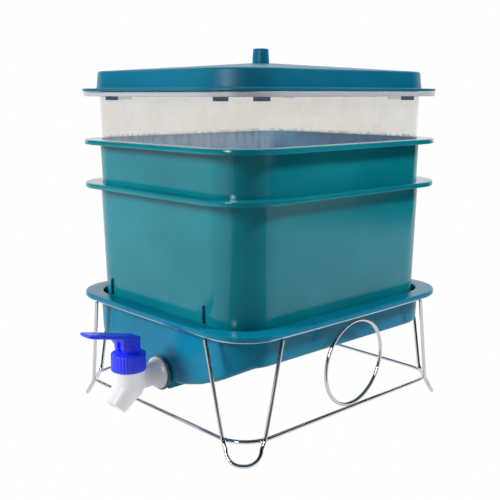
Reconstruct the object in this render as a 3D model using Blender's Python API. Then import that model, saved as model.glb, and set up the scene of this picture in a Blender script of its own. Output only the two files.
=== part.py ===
"""Worm composter on a wire stand, built piece by piece at its real size.

A drip tub with a dispensing tap stands in a chromed wire stand. Three tapered trays nest in the
tub and in one another, two opaque and the top one clear, and a domed lid with a peg knob closes
the stack. Metres, +Z up, the tap faces -Y. The origin is on the floor under the middle of the
object's bounding box.
"""
import math

import bpy
import numpy as np
from mathutils import Vector

# Fits and edges
CLEAR = 0.0003            # gap between pieces that touch
EASE = 0.0006             # small bevel on moulded edges
OVERRUN = 0.004           # how far a cutter runs past what it cuts

# Trays: three mouldings of one size, which the stack follows
TRAY_HALF_X = 0.1364      # wall, outside, at the rim
TRAY_HALF_Y = 0.1544
TRAY_CORNER = 0.050
TRAY_RIM_WIDE_X = 0.0136  # wall to the rim's edge
TRAY_RIM_WIDE_Y = 0.0160
TRAY_RIM_CORNER_MORE = 0.009  # how much wider the rim's corner is than the wall's
TRAY_RIM_LIP = 0.0053     # depth of the turned-down edge
TRAY_WALL = 0.0015
TRAY_FLOOR = 0.0018
TRAY_HEIGHT = 0.1503
TRAY_FILLET = 0.006
DRAFT = math.radians(2.2)  # taper of every moulded wall
LOWER_DEEP = 0.0215       # how far the lower tray hangs down into the tub
UPPER_NEST_GAP = 0.00038  # between the walls of the lower and upper trays
CLEAR_NEST_GAP = 0.00057  # between the walls of the upper and clear trays
HOLE = 0.009              # side of a square hole in a tray floor
HOLE_PITCH = 0.040
STANDOFF_HEIGHT = 0.020   # ribs that hang the lower tray on the tub's rim
STANDOFF_THICK = 0.0018
STANDOFF_SEAT = 0.0025    # how far a rib reaches over the tub's rim
STANDOFF_SHARES = (-1.02, 0.88)  # along the tap side, of the straight run's half, turned half round behind
VENT_LENGTH = 0.0250
VENT_CORNER_LENGTH = 0.0165  # of the slots that reach a rounded corner
VENT_HEIGHT = 0.0057
VENT_BELOW_RIM = 0.0042   # rim top to the top of a slot
VENT_FROM_LEFT = 0.0588   # slot centres on the tap side, from the ends of the tray's wall
VENT_FROM_RIGHT = 0.0338
VENT_FROM_FRONT = 0.0319  # slot centres on the right side
VENT_FROM_BACK = 0.0551
SCREEN_RECESS = 0.0004    # wall's outside to the screen in a slot
SCREEN_THICK = 0.0006

# Wire stand
WIRE = 0.004              # wire diameter
LOW_RING_Z = 0.022        # centre line of the bottom ring above the floor
TOP_RING_Z = 0.124        # centre line of the ring that carries the tub
TOP_RING_INSET = 0.004    # from the tub rim's edge to the ring's centre line
STAND_LEAN_X = 0.0077     # how much smaller the bottom ring is than the top one, on each side
STAND_LEAN_Y = 0.0087
LEG_TOP_BACK = 0.009      # how far past the corner arc a leg wire meets the top ring
LEG_HALF_AT_RING = 0.0205  # half the leg's width where it passes the bottom ring
FOOT_RADIUS = 0.016       # bend of the U at the foot
FOOT_FLAT = 0.0030        # straight run under the U, which the stand rests on
FOOT_FLAT_SHARE = 0.75    # part of that run whose facet lies level
FOOT_KICK = math.radians(30.5)  # the U leans out from the vertical
CIRCLE_HALF_WIDTH = 0.0445  # centre of a side circle to its wire's centre line

# Drip tub
TUB_GAP_X = 0.00275       # lower tray's wall to the tub's inside at the tub's rim
TUB_GAP_Y = 0.00225
TUB_WALL = 0.0023
TUB_CORNER = 0.043        # of the wall, outside, at the rim
TUB_RIM_WIDE_X = 0.0176   # wall to the rim's edge
TUB_RIM_WIDE_Y = 0.0163
TUB_RIM_CORNER_MORE = 0.005  # how much wider the rim's corner is than the wall's
TUB_RIM = 0.0032          # rim thickness
TUB_RIM_BOW_SHARE = 0.02  # the rim's sides bow out by this share of its half width
TUB_DEPTH = 0.0395        # rim top to the underside of the level part of the floor
TUB_SAG = 0.0385          # how much lower the floor is at the tap
TUB_FILLET = 0.006
TUB_SAG_INSET = 0.0099    # wall at the rim to the side edge of the hollow in the floor

# Lid
LID_WALL_PAST_X = 0.0021  # lid's wall, outside, past the tray's wall
LID_WALL_PAST_Y = 0.0071
LID_CORNER_MORE = 0.011   # how much wider the lid wall's corner is than the tray's
LID_RIM_PAST_X = -0.0005  # lid's rim past the tray's rim
LID_RIM_PAST_Y = 0.0037
LID_RIM_CORNER_MORE = 0.003
LID_RIM = 0.0030
LID_WALL_HEIGHT = 0.0222  # underside of the rim to the top edge
LID_LEAN = 0.0016         # how far the wall leans in over its height
LID_SHELL = 0.0020
LID_CROWN = 0.0096        # rise of the top from its edge to the knob
LID_EDGE = 0.0025         # rounding between wall and top
LID_SEAT_SHARE = 0.09     # flat middle of the crown, as a share of the lid
EDGE_SHARE = 1 / 3        # where the middle of a rounding lies, as a share of it
SKIRT_DEPTH = 0.0050      # the ring that centres the lid in the clear tray
SKIRT_WALL = 0.0016

# Knob and its screw
KNOB_DIAMETER = 0.0198
KNOB_TOP_DIAMETER = 0.0180
KNOB_HEIGHT = 0.0172
KNOB_EDGE = 0.0015
KNOB_SPIGOT = 0.0070      # part of the knob that passes through the lid
SCREW_DIAMETER = 0.0035
SCREW_LENGTH = 0.012
SCREW_HEAD = 0.0105
SCREW_HEAD_HEIGHT = 0.0024

# Tap
TAP_X = 0.0065            # the tap stands a little right of the middle
TAP_REACH = 0.0405        # pad on the tub to the barrel's axis
TAP_Z = 0.0626            # shank axis above the floor
PAD_PROUD = 0.0025        # pad face, out from the wall at the shank's height
PAD_HALF = 0.0155
PAD_DROP = 0.0147         # shank axis to the pad's lower edge
PAD_DEPTH = 0.0215        # front to back of the well behind the pad
WASHER_DIAMETER = 0.038
WASHER = 0.002
INNER_WASHER_DIAMETER = 0.024
SHANK = 0.016
SHANK_BORE = 0.011
SHANK_LENGTH = 0.0185     # flange face to the open end inside the tub
SHANK_FLANGE = 0.034
SHANK_FLANGE_THICK = 0.0032
SHANK_NECK = 0.0238
SHANK_FLARE = 0.012       # length over which the neck widens to the flange
FLARE_SHARES = ((0, 0), (0.45, 0.10), (0.78, 0.38), (1, 0.85))  # along the flare, of its widening
NUT = 0.0236              # across the corners
NUT_THICK = 0.006
BARREL = 0.0326
BARREL_TOP_Z = 0.0747
BARREL_NECK = 0.029       # the part that the collar screws on to
BARREL_NECK_HEIGHT = 0.0113
CHAMBER = 0.023
SEAT_Z = 0.0560           # floor of the chamber, where the seal sits
SEAT_BORE = 0.012
SPOUT = 0.0245
SPOUT_BORE = 0.0165
SPOUT_LENGTH = 0.0263     # along its axis, from the barrel's axis
SPOUT_LEAN = math.radians(42)
SPOUT_START_Z = 0.0582    # where the spout's axis leaves the barrel's
SPOUT_BORE_START = 0.012
COLLAR = 0.0364
COLLAR_HEIGHT = 0.018
COLLAR_PLATE = 0.005
COLLAR_RIB = 0.0006
STEM = 0.0054
STEM_EYE = 0.0084         # round eye that holds the pin
SEAL = 0.018
SEAL_THICK = 0.004
SEAL_SOLE = 0.0015        # rubber under the stem
PIN = 0.003
CAM_RADIUS = 0.0068       # round heel of the lever
CAM_FORWARD = 0.0045      # centre of the heel, ahead of the pin
LEVER_WIDTH = 0.018
LEVER_BACK = 0.0094       # pin to the back of the lever
LEVER_TOP = 0.0100        # pin to the top of the lever at its back
LEVER_WEB = 0.0038        # bridge that joins the two cheeks
LEVER_REACH = 0.0513      # pin to the tip
PADDLE_WIDTH = 0.024
PADDLE_THICK = 0.0046
PADDLE_RISE = math.radians(12.5)
PADDLE_SHARES = ((0, 0.72, 0.9), (0.22, 0.74, 1), (0.40, 0.92, 1), (0.58, 1, 1), (0.82, 0.98, 0.95),
                 (0.92, 0.84, 0.9), (0.98, 0.55, 0.75), (1, 0.28, 0.5))  # along, of width, of thickness

# Facets
CORNER_STEPS = 6
SIDE_STEPS = 4
WIRE_SIDES = 8
ROUND_STEPS = 24
SMALL_STEPS = 16
COLLAR_RIBS = 24
HEXAGON = 6
FILLET_STEPS = 2
LOOP_STEPS = 24
CROWN_SHARES = (LID_SEAT_SHARE, 0.35, 0.70, 0.97)
FLOOR_SHARES = (0.20, 0.50, 0.80)

# Heights that follow from the pieces below. A tray sinks until the taper leaves its nest gap
SLOPE = math.tan(DRAFT)
TUB_RIM_Z = TOP_RING_Z + WIRE / 2 + CLEAR + TUB_RIM
LOWER_SHOW = TRAY_HEIGHT - LOWER_DEEP
LOWER_RIM_Z = TUB_RIM_Z + LOWER_SHOW
UPPER_RIM_Z = LOWER_RIM_Z + (TRAY_WALL + UPPER_NEST_GAP) / SLOPE
CLEAR_RIM_Z = UPPER_RIM_Z + (TRAY_WALL + CLEAR_NEST_GAP) / SLOPE
LID_Z = CLEAR_RIM_Z + CLEAR

# Widths that follow from the trays
TRAY_RIM_HALF_X = TRAY_HALF_X + TRAY_RIM_WIDE_X
TRAY_RIM_HALF_Y = TRAY_HALF_Y + TRAY_RIM_WIDE_Y
TRAY_RIM_CORNER = TRAY_CORNER + TRAY_RIM_CORNER_MORE
LID_HALF_X = TRAY_HALF_X + LID_WALL_PAST_X
LID_HALF_Y = TRAY_HALF_Y + LID_WALL_PAST_Y
LID_CORNER = TRAY_CORNER + LID_CORNER_MORE
LID_RIM_HALF_X = TRAY_RIM_HALF_X + LID_RIM_PAST_X
LID_RIM_HALF_Y = TRAY_RIM_HALF_Y + LID_RIM_PAST_Y
LID_RIM_CORNER = TRAY_RIM_CORNER + LID_RIM_CORNER_MORE
TUB_HALF_X = TRAY_HALF_X - SLOPE * LOWER_SHOW + TUB_GAP_X + TUB_WALL
TUB_HALF_Y = TRAY_HALF_Y - SLOPE * LOWER_SHOW + TUB_GAP_Y + TUB_WALL
TUB_SAG_HALF = TUB_HALF_X - TUB_SAG_INSET
TUB_RIM_HALF_X = TUB_HALF_X + TUB_RIM_WIDE_X
TUB_RIM_HALF_Y = TUB_HALF_Y + TUB_RIM_WIDE_Y
TUB_RIM_CORNER = TUB_CORNER + TUB_RIM_CORNER_MORE
TOP_RING_HALF_X = TUB_RIM_HALF_X - TOP_RING_INSET
TOP_RING_HALF_Y = TUB_RIM_HALF_Y - TOP_RING_INSET
TOP_RING_CORNER = TUB_RIM_CORNER - TOP_RING_INSET
LOW_RING_HALF_X = TOP_RING_HALF_X - STAND_LEAN_X
LOW_RING_HALF_Y = TOP_RING_HALF_Y - STAND_LEAN_Y
LOW_RING_CORNER = TOP_RING_CORNER - STAND_LEAN_X

# The pad's face and the tap's axis
PAD_Y = -(TUB_HALF_Y - SLOPE * (TUB_RIM_Z - TAP_Z) + PAD_PROUD)
TAP_Y = PAD_Y - TAP_REACH
COLLAR_Z = BARREL_TOP_Z + CLEAR
PIN_Z = COLLAR_Z + COLLAR_HEIGHT + CLEAR + CAM_RADIUS
CENTRE_Y = -(LID_RIM_HALF_Y + TAP_Y - LEVER_REACH) / 2


# Scene and objects

for old in list(bpy.data.objects):
    bpy.data.objects.remove(old, do_unlink=True)


def material(name, colour, roughness, metallic=0.0, alpha=1.0):
    """Principled material with the photographed colour."""
    made = bpy.data.materials.new(name)
    made.use_nodes = True
    shader = made.node_tree.nodes["Principled BSDF"]
    shader.inputs["Base Color"].default_value = (*colour, 1.0)
    shader.inputs["Roughness"].default_value = roughness
    shader.inputs["Metallic"].default_value = metallic
    shader.inputs["Alpha"].default_value = alpha
    made.diffuse_color = (*colour, alpha)
    return made


LID_BLUE = material("lid and tub plastic", (0.012, 0.17, 0.29), 0.38)
TRAY_GREEN = material("tray plastic", (0.010, 0.20, 0.22), 0.36)
FROSTED = material("frosted plastic", (0.86, 0.86, 0.83), 0.45, alpha=0.45)
CHROME = material("chromed wire", (0.86, 0.87, 0.88), 0.10, metallic=1.0)
TAP_BLUE = material("tap blue", (0.020, 0.030, 0.72), 0.32)
TAP_WHITE = material("tap white", (0.88, 0.89, 0.89), 0.42)
SEALING = material("clear washer", (0.62, 0.70, 0.68), 0.50, alpha=0.6)
STEEL = material("steel", (0.55, 0.55, 0.56), 0.30, metallic=1.0)
SCREEN = material("vent screen", (0.06, 0.11, 0.17), 0.60)

home = bpy.data.objects.new("composter", None)
home.location = (0, CENTRE_Y, 0)
bpy.context.collection.objects.link(home)


def body(name, location):
    """An empty on a moving body's joint."""
    made = bpy.data.objects.new(name, None)
    made.location = location
    made.parent = home
    bpy.context.collection.objects.link(made)
    return made


def add(name, mesh_data, skin, parent=None, location=(0, 0, 0), sharp=math.radians(38)):
    """Object from (vertices, faces), shaded smooth with its hard edges kept."""
    verts, faces = mesh_data
    mesh = bpy.data.meshes.new(name)
    mesh.from_pydata([tuple(map(float, v)) for v in verts], [], [tuple(map(int, f)) for f in faces])
    mesh.materials.append(skin)
    mesh.shade_smooth()
    mesh.set_sharp_from_angle(angle=sharp)
    mesh.update()
    made = bpy.data.objects.new(name, mesh)
    made.location = location
    made.parent = parent or home
    bpy.context.collection.objects.link(made)
    return made


def cutter(name, mesh_data, parent, location=(0, 0, 0)):
    """A guide solid for a Boolean, which isn't a piece."""
    made = add(name, mesh_data, STEEL, parent, location)
    made.hide_render = True
    made.display_type = "WIRE"
    return made


def combine(target, tool, operation):
    """Boolean with the exact solver, left on the object."""
    step = target.modifiers.new(tool.name, "BOOLEAN")
    step.operation = operation
    step.solver = "EXACT"
    step.object = tool


# Shapes

def rounded(half_x, half_y, radius, z, bow_share=0.0, sides=1):
    """Closed loop of a rounded rectangle at height z, seen anticlockwise from above.

    The sides bow: x falls by bow_share * (y / half_y)**2, and y in the same way.
    """
    points = []
    for quarter, (sx, sy) in enumerate(((1, 1), (-1, 1), (-1, -1), (1, -1))):
        for step in range(CORNER_STEPS + 1):
            angle = (quarter + step / CORNER_STEPS) * math.pi / 2
            points.append((sx * (half_x - radius) + radius * math.cos(angle),
                           sy * (half_y - radius) + radius * math.sin(angle)))
    flat = []
    for index, point in enumerate(points):
        flat.append(point)
        if index % (CORNER_STEPS + 1) == CORNER_STEPS:
            after = points[(index + 1) % len(points)]
            flat += [tuple(p + (q - p) * step / sides for p, q in zip(point, after))
                     for step in range(1, sides)]
    flat = np.array(flat)
    x = flat[:, 0] * (1 - bow_share * (flat[:, 1] / half_y) ** 2)
    y = flat[:, 1] * (1 - bow_share * (flat[:, 0] / half_x) ** 2)
    return np.column_stack([x, y, np.zeros(len(flat)) + z])


def inset(half_x, half_y, corner, distance, z, bow_share=0.0, sides=1):
    """Rounded loop drawn in by a distance."""
    return rounded(half_x - distance, half_y - distance, corner - distance, z, bow_share, sides)


def loft(loops, wrap=False, peaks=None):
    """Skin over loops of equal length, from the underside outwards, up and back in.

    The ends join each other where wrap is set. Otherwise each has a flat cap, or a fan about its
    own point in peaks.
    """
    loops = [np.asarray(loop, float) for loop in loops]
    count, size = len(loops), len(loops[0])
    verts = np.vstack(loops)
    faces = []
    for i in range(count if wrap else count - 1):
        low, high = i * size, (i + 1) % count * size
        for j in range(size):
            k = (j + 1) % size
            faces.append((low + j, low + k, high + k, high + j))
    first, last = list(reversed(range(size))), list(range((count - 1) * size, count * size))
    if peaks is not None:
        for ring, centre in ((first, len(verts)), (last, len(verts) + 1)):
            faces += [(ring[j], ring[(j + 1) % size], centre) for j in range(size)]
        verts = np.vstack([verts, peaks])
    elif not wrap:
        faces += [tuple(first), tuple(last)]
    return verts, faces


def turned(profile, steps=ROUND_STEPS, wrap=False):
    """Lathe (radius, z) points about Z, listed from the underside outwards and up."""
    angles = np.arange(steps) * 2 * math.pi / steps
    loops = [np.column_stack([r * np.cos(angles), r * np.sin(angles), np.zeros(steps) + z])
             for r, z in profile]
    return loft(loops, wrap)


def pipe(outer, inner, high):
    """Plain ring about Z with a bore."""
    return turned([(inner, 0), (outer, 0), (outer, high), (inner, high)], wrap=True)


def turn_to(mesh_data, axis, at=(0, 0, 0)):
    """Turn a shape made about Z so that it points along axis, and put it at a point."""
    verts, faces = mesh_data
    spin = Vector((0, 0, 1)).rotation_difference(Vector(axis)).to_matrix()
    moved = np.asarray(verts) @ np.array(spin).T + np.array(at)
    return moved, faces


def box(low, high):
    """Block between two corners."""
    loops = [[(low[0], low[1], z), (high[0], low[1], z), (high[0], high[1], z), (low[0], high[1], z)]
             for z in (low[2], high[2])]
    return loft(loops)


def many(parts):
    """Several closed shapes as one mesh."""
    verts, faces, start = [], [], 0
    for part_verts, part_faces in parts:
        verts.append(np.asarray(part_verts))
        faces += [tuple(start + k for k in face) for face in part_faces]
        start += len(part_verts)
    return np.vstack(verts), faces


def extruded(outline, half_width, x=0.0):
    """Side view (y, z), anticlockwise seen from +X, pushed out to both sides along X."""
    flat = np.array(outline)
    loops = [np.column_stack([np.zeros(len(flat)) + x + side * half_width, flat]) for side in (-1, 1)]
    return loft(loops)


def wire(path, outward, closed=False):
    """Round wire along a path. outward picks the section's first axis, so its flats line up.

    Sections stand on the bisector of each bend and stretch across it, so the wire keeps its width.
    """
    path = np.asarray(path, float)
    outward = np.broadcast_to(np.asarray(outward, float), path.shape)
    reach = WIRE / 2 / math.cos(math.pi / WIRE_SIDES)
    angles = (np.arange(WIRE_SIDES) + 1 / 2) * 2 * math.pi / WIRE_SIDES
    loops = []
    for i, point in enumerate(path):
        after = path[(i + 1) % len(path)] - point
        before = point - path[i - 1]
        if not closed and i == 0:
            before = after
        if not closed and i == len(path) - 1:
            after = before
        before, after = before / np.linalg.norm(before), after / np.linalg.norm(after)
        along = (before + after) / np.linalg.norm(before + after)
        first = outward[i] - outward[i] @ along * along
        first = first / np.linalg.norm(first)
        second = np.cross(along, first)
        bend = after - before
        stretch = 1 / (along @ after)
        section = []
        for angle in angles:
            offset = reach * (math.cos(angle) * first + math.sin(angle) * second)
            if np.linalg.norm(bend) > 0 and stretch > 1:
                across = bend / np.linalg.norm(bend)
                offset = offset + (stretch - 1) * (offset @ across) * across
            section.append(point + offset)
        loops.append(section)
    return loft(loops, wrap=closed)


# Stand

def ring_path(half_x, half_y, radius, z, bow_share=0.0, sides=1):
    """Centre line of a ring and the outward direction at each point."""
    path = rounded(half_x, half_y, radius, z, bow_share, sides)
    ahead = np.roll(path, -1, axis=0) - np.roll(path, 1, axis=0)
    out = np.column_stack([ahead[:, 1], -ahead[:, 0], np.zeros(len(path))])
    return path, out / np.linalg.norm(out, axis=1)[:, None]


path, out = ring_path(TOP_RING_HALF_X, TOP_RING_HALF_Y, TOP_RING_CORNER, TOP_RING_Z, TUB_RIM_BOW_SHARE,
                      SIDE_STEPS)
add("stand_top_ring", wire(path, out, closed=True), CHROME)
path, out = ring_path(LOW_RING_HALF_X, LOW_RING_HALF_Y, LOW_RING_CORNER, LOW_RING_Z)
add("stand_bottom_ring", wire(path, out, closed=True), CHROME)


def leg_path(sx, sy):
    """One leg: from under the top ring, down past the bottom ring, round the U and back up.

    It is drawn in the corner's own axes, (across the corner, out of it, up).
    """
    corner = np.array((sx * (LOW_RING_HALF_X - LOW_RING_CORNER), sy * (LOW_RING_HALF_Y - LOW_RING_CORNER)))
    out = np.array((sx, sy)) / math.sqrt(2)
    across = np.array((-sy, sx)) / math.sqrt(2)
    half = FOOT_FLAT / 2
    at_ring = math.sqrt((LOW_RING_CORNER + WIRE + CLEAR) ** 2 - LEG_HALF_AT_RING ** 2)
    bend_z = WIRE / 2 + FOOT_RADIUS * math.cos(FOOT_KICK)
    at_bend = at_ring + (LOW_RING_Z - bend_z) * math.tan(FOOT_KICK)
    left = [(-LEG_HALF_AT_RING, at_ring, LOW_RING_Z)]
    for step in range(CORNER_STEPS + 1):
        angle = step / CORNER_STEPS * math.pi / 2
        lower = FOOT_RADIUS * math.sin(angle)
        left.append((-half - FOOT_RADIUS * math.cos(angle), at_bend + lower * math.sin(FOOT_KICK),
                     bend_z - lower * math.cos(FOOT_KICK)))
    left.append((-half * FOOT_FLAT_SHARE, left[-1][1], left[-1][2]))
    both = left + [(-t, n, z) for t, n, z in reversed(left)]
    path = [np.array((*(corner + t * across + n * out), z)) for t, n, z in both]
    top_z = TOP_RING_Z - WIRE / 2 - 2 * CLEAR
    ends = [np.array((corner[0] - sx * LEG_TOP_BACK, sy * TOP_RING_HALF_Y, top_z)),
            np.array((sx * TOP_RING_HALF_X, corner[1] - sy * LEG_TOP_BACK, top_z))]
    ends.sort(key=lambda end: (end[:2] - corner) @ across)
    return [ends[0]] + path + [ends[1]], (*out, 0)


for name, sx, sy in (("stand_leg_front_left", -1, -1), ("stand_leg_front_right", 1, -1),
                     ("stand_leg_back_left", -1, 1), ("stand_leg_back_right", 1, 1)):
    path, out = leg_path(sx, sy)
    add(name, wire(path, out), CHROME)

# A wire circle on each side, a little narrow, fills the height between the rings and leans with them
for name, side in (("stand_circle_left", -1), ("stand_circle_right", 1)):
    rise = Vector((TOP_RING_HALF_X - LOW_RING_HALF_X, 0, TOP_RING_Z - LOW_RING_Z))
    lean = rise.normalized()
    half_height = (rise.length - 2 * (WIRE + CLEAR)) / 2
    middle = Vector((LOW_RING_HALF_X, 0, LOW_RING_Z)) + rise / 2
    path, out = [], []
    for step in range(LOOP_STEPS):
        angle = (step + 1 / 2) * 2 * math.pi / LOOP_STEPS
        spoke = lean * math.sin(angle) + Vector((0, math.cos(angle), 0))
        sideways = Vector((0, CIRCLE_HALF_WIDTH * math.cos(angle), 0))
        point = middle + lean * (half_height * math.sin(angle)) + sideways
        path.append((side * point.x, point.y, point.z))
        out.append((side * spoke.x, spoke.y, spoke.z))
    add(name, wire(path, out, closed=True), CHROME)


# Drip tub

def floor_height(x, y, lift):
    """Level floor with a hollow that deepens towards the tap.

    z = level - sag * (1 - (x / half)^2) * ((foot_y - y) / (2 foot_y))^2
    """
    level = TUB_RIM_Z - TUB_DEPTH
    foot_y = TUB_HALF_Y - SLOPE * TUB_DEPTH
    across = np.clip(1 - (x / TUB_SAG_HALF) ** 2, 0, None)
    ahead = np.clip((foot_y - y) / (2 * foot_y), 0, 1)
    return level - TUB_SAG * across * ahead ** 2 + lift


def tub_floor_loop(distance, share, lift):
    """Loop on the floor: the wall's foot drawn in by distance and then shrunk by share."""
    foot = SLOPE * TUB_DEPTH
    loop = inset(TUB_HALF_X, TUB_HALF_Y, TUB_CORNER, foot + distance, 0, sides=SIDE_STEPS)
    loop[:, :2] *= share
    loop[:, 2] = floor_height(loop[:, 0], loop[:, 1], lift)
    return loop


def tub_wall_loop(distance, z):
    """Loop of the wall at height z, drawn in by a distance."""
    taper = SLOPE * (TUB_RIM_Z - z)
    return inset(TUB_HALF_X, TUB_HALF_Y, TUB_CORNER, distance + taper, z, sides=SIDE_STEPS)


def tub_rim_loop(distance, z):
    """Loop of the rim's bowed edge."""
    return inset(TUB_RIM_HALF_X, TUB_RIM_HALF_Y, TUB_RIM_CORNER, distance, z, TUB_RIM_BOW_SHARE, SIDE_STEPS)


def tub_side(distance, lift, radius):
    """Loops from the middle of the floor out to the wall, with a rounded foot."""
    loops = [tub_floor_loop(distance + radius, share, lift) for share in FLOOR_SHARES]
    for step in range(FILLET_STEPS + 1):
        angle = step / FILLET_STEPS * math.pi / 2
        loops.append(tub_floor_loop(distance + radius * (1 - math.sin(angle)), 1,
                                    lift + radius * (1 - math.cos(angle))))
    return loops


def tub_middle(lift, top_z):
    """The points that close a tub solid: the middle of its floor and of its top."""
    return np.array([(0, 0, float(floor_height(0, 0, lift))), (0, 0, top_z)])


# The full outer form first. The pad joins it, and the inside is cut from both.
under_z = TUB_RIM_Z - TUB_RIM
outer = tub_side(0, 0, TUB_FILLET)
outer += [tub_wall_loop(0, under_z), tub_rim_loop(EASE, under_z), tub_rim_loop(0, under_z + EASE),
          tub_rim_loop(0, TUB_RIM_Z - EASE), tub_rim_loop(EASE, TUB_RIM_Z)]
tub = add("base_tub", loft(outer, peaks=tub_middle(0, TUB_RIM_Z)), LID_BLUE)
inside = tub_side(TUB_WALL, TUB_WALL, TUB_FILLET - TUB_WALL) + [tub_wall_loop(TUB_WALL, TUB_RIM_Z + OVERRUN)]
tub_inside = loft(inside, peaks=tub_middle(TUB_WALL, TUB_RIM_Z + OVERRUN))


def arch(half, drop, depth, at_y):
    """Pad shape seen from the front, round on top and square below, pushed back from at_y."""
    outline = [(-half, -drop), (half, -drop)]
    outline += [(half * math.cos(a), half * math.sin(a))
                for a in np.linspace(0, math.pi, SMALL_STEPS + 1)]
    loops = [np.array([(TAP_X + x, y, TAP_Z + z) for x, z in outline]) for y in (at_y, at_y + depth)]
    verts, faces = loft(loops)
    return verts, [tuple(reversed(face)) for face in faces]


def along_y(mesh_data):
    """Turn a shape made about Z to run along +Y."""
    return turn_to(mesh_data, (0, 1, 0))


combine(tub, cutter("pad", arch(PAD_HALF, PAD_DROP, PAD_DEPTH, PAD_Y), home), "UNION")
combine(tub, cutter("tub inside", tub_inside, home), "DIFFERENCE")
combine(tub, cutter("pad well", arch(PAD_HALF - TUB_WALL, PAD_DROP - TUB_WALL, PAD_DEPTH - 2 * TUB_WALL,
                                     PAD_Y + TUB_WALL), home), "DIFFERENCE")
hole = turned([(SHANK / 2 + CLEAR, -OVERRUN), (SHANK / 2 + CLEAR, TUB_WALL + OVERRUN)], SMALL_STEPS)
combine(tub, cutter("shank hole", along_y(hole), home, (TAP_X, PAD_Y, TAP_Z)), "DIFFERENCE")


# Trays

def tray_mesh():
    """One tray moulding, with its underside at z = 0."""
    def wall(distance, z):
        shape = (TRAY_HALF_X, TRAY_HALF_Y, TRAY_CORNER)
        taper = SLOPE * (TRAY_HEIGHT - z)
        return rounded(shape[0] - taper - distance, shape[1] - taper - distance, shape[2] - distance, z)

    def lip(distance, z):
        return inset(TRAY_RIM_HALF_X, TRAY_RIM_HALF_Y, TRAY_RIM_CORNER, distance, z)

    def foot(distance, lift, radius):
        turn = [step / FILLET_STEPS * math.pi / 2 for step in range(FILLET_STEPS + 1)]
        return [wall(distance + radius * (1 - math.sin(a)), lift + radius * (1 - math.cos(a))) for a in turn]

    under = TRAY_HEIGHT - TRAY_WALL
    loops = foot(0, 0, TRAY_FILLET)
    loops.append(wall(0, under))
    loops.append(lip(TRAY_WALL, under))
    loops.append(lip(TRAY_WALL, TRAY_HEIGHT - TRAY_RIM_LIP))
    loops.append(lip(0, TRAY_HEIGHT - TRAY_RIM_LIP))
    loops.append(lip(0, TRAY_HEIGHT - EASE))
    loops.append(lip(EASE, TRAY_HEIGHT))
    loops.append(wall(TRAY_WALL, TRAY_HEIGHT))
    loops += list(reversed(foot(TRAY_WALL, TRAY_FLOOR, TRAY_FILLET - TRAY_WALL)))
    return loft(loops)


def floor_holes():
    """Square holes on an even pitch, as many as fit on the flat of the floor."""
    room_x = TRAY_HALF_X - SLOPE * TRAY_HEIGHT - TRAY_FILLET - HOLE
    room_y = TRAY_HALF_Y - SLOPE * TRAY_HEIGHT - TRAY_FILLET - HOLE
    across = int(room_x * 2 / HOLE_PITCH) + 1
    along = int(room_y * 2 / HOLE_PITCH) + 1
    square = HOLE / 2
    parts = []
    for i in range(across):
        for j in range(along):
            x, y = (i - (across - 1) / 2) * HOLE_PITCH, (j - (along - 1) / 2) * HOLE_PITCH
            if i in (0, across - 1) and j in (0, along - 1):
                continue
            parts.append(box((x - square, y - square, -OVERRUN),
                             (x + square, y + square, TRAY_FLOOR + OVERRUN)))
    return many(parts)


def vent_boxes(gap):
    """Named boxes for the air slots round the clear tray, drawn in by a gap.

    The slots on the far sides are those of the near sides turned half round.
    """
    high = TRAY_HEIGHT - VENT_BELOW_RIM - gap
    low = TRAY_HEIGHT - VENT_BELOW_RIM - VENT_HEIGHT + gap
    long_half, corner_half, reach = VENT_LENGTH / 2 - gap, VENT_CORNER_LENGTH / 2 - gap, TRAY_CORNER / 2
    made = {}
    for front, side, turn in (("front", "right", 1), ("back", "left", -1)):
        for number, x, half in ((1, VENT_FROM_LEFT - TRAY_HALF_X, long_half),
                                (2, TRAY_HALF_X - VENT_FROM_RIGHT, corner_half)):
            ends = sorted((-turn * (TRAY_HALF_Y + OVERRUN), -turn * (TRAY_HALF_Y - reach)))
            made[f"{front}_{number}"] = box((turn * x - half, ends[0], low), (turn * x + half, ends[1], high))
        for number, y, half in ((1, VENT_FROM_FRONT - TRAY_HALF_Y, corner_half),
                                (2, TRAY_HALF_Y - VENT_FROM_BACK, long_half)):
            ends = sorted((turn * (TRAY_HALF_X + OVERRUN), turn * (TRAY_HALF_X - reach)))
            made[f"{side}_{number}"] = box((ends[0], turn * y - half, low), (ends[1], turn * y + half, high))
    return made


def screen_band():
    """Thin band inside the clear tray's wall, which each vent screen is cut from."""
    def wall(distance, z):
        taper = SLOPE * (TRAY_HEIGHT - z)
        return inset(TRAY_HALF_X, TRAY_HALF_Y, TRAY_CORNER, taper + distance, z)

    low, high = TRAY_HEIGHT - VENT_BELOW_RIM - VENT_HEIGHT - OVERRUN, TRAY_HEIGHT
    outside, within = SCREEN_RECESS, SCREEN_RECESS + SCREEN_THICK
    return loft([wall(within, low), wall(outside, low), wall(outside, high), wall(within, high)], wrap=True)


def standoffs():
    """Ribs that hang the lower tray on the tub's rim: a square foot and a sloping top."""
    base = TUB_RIM_Z + CLEAR - (LOWER_RIM_Z - TRAY_HEIGHT)
    top = base + STANDOFF_HEIGHT
    seat = TUB_HALF_Y - TUB_WALL + STANDOFF_SEAT

    def root(z):
        return TRAY_HALF_Y - SLOPE * (TRAY_HEIGHT - z) - TRAY_WALL / 2

    outline = [(seat, base), (seat, top - STANDOFF_SEAT), (root(top), top), (root(base), base)]
    parts = []
    for share in STANDOFF_SHARES:
        x = share * (TRAY_HALF_X - TRAY_CORNER)
        parts.append(extruded(outline, STANDOFF_THICK / 2, -x))
        parts.append(extruded([(-y, z) for y, z in reversed(outline)], STANDOFF_THICK / 2, x))
    return many(parts)


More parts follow.
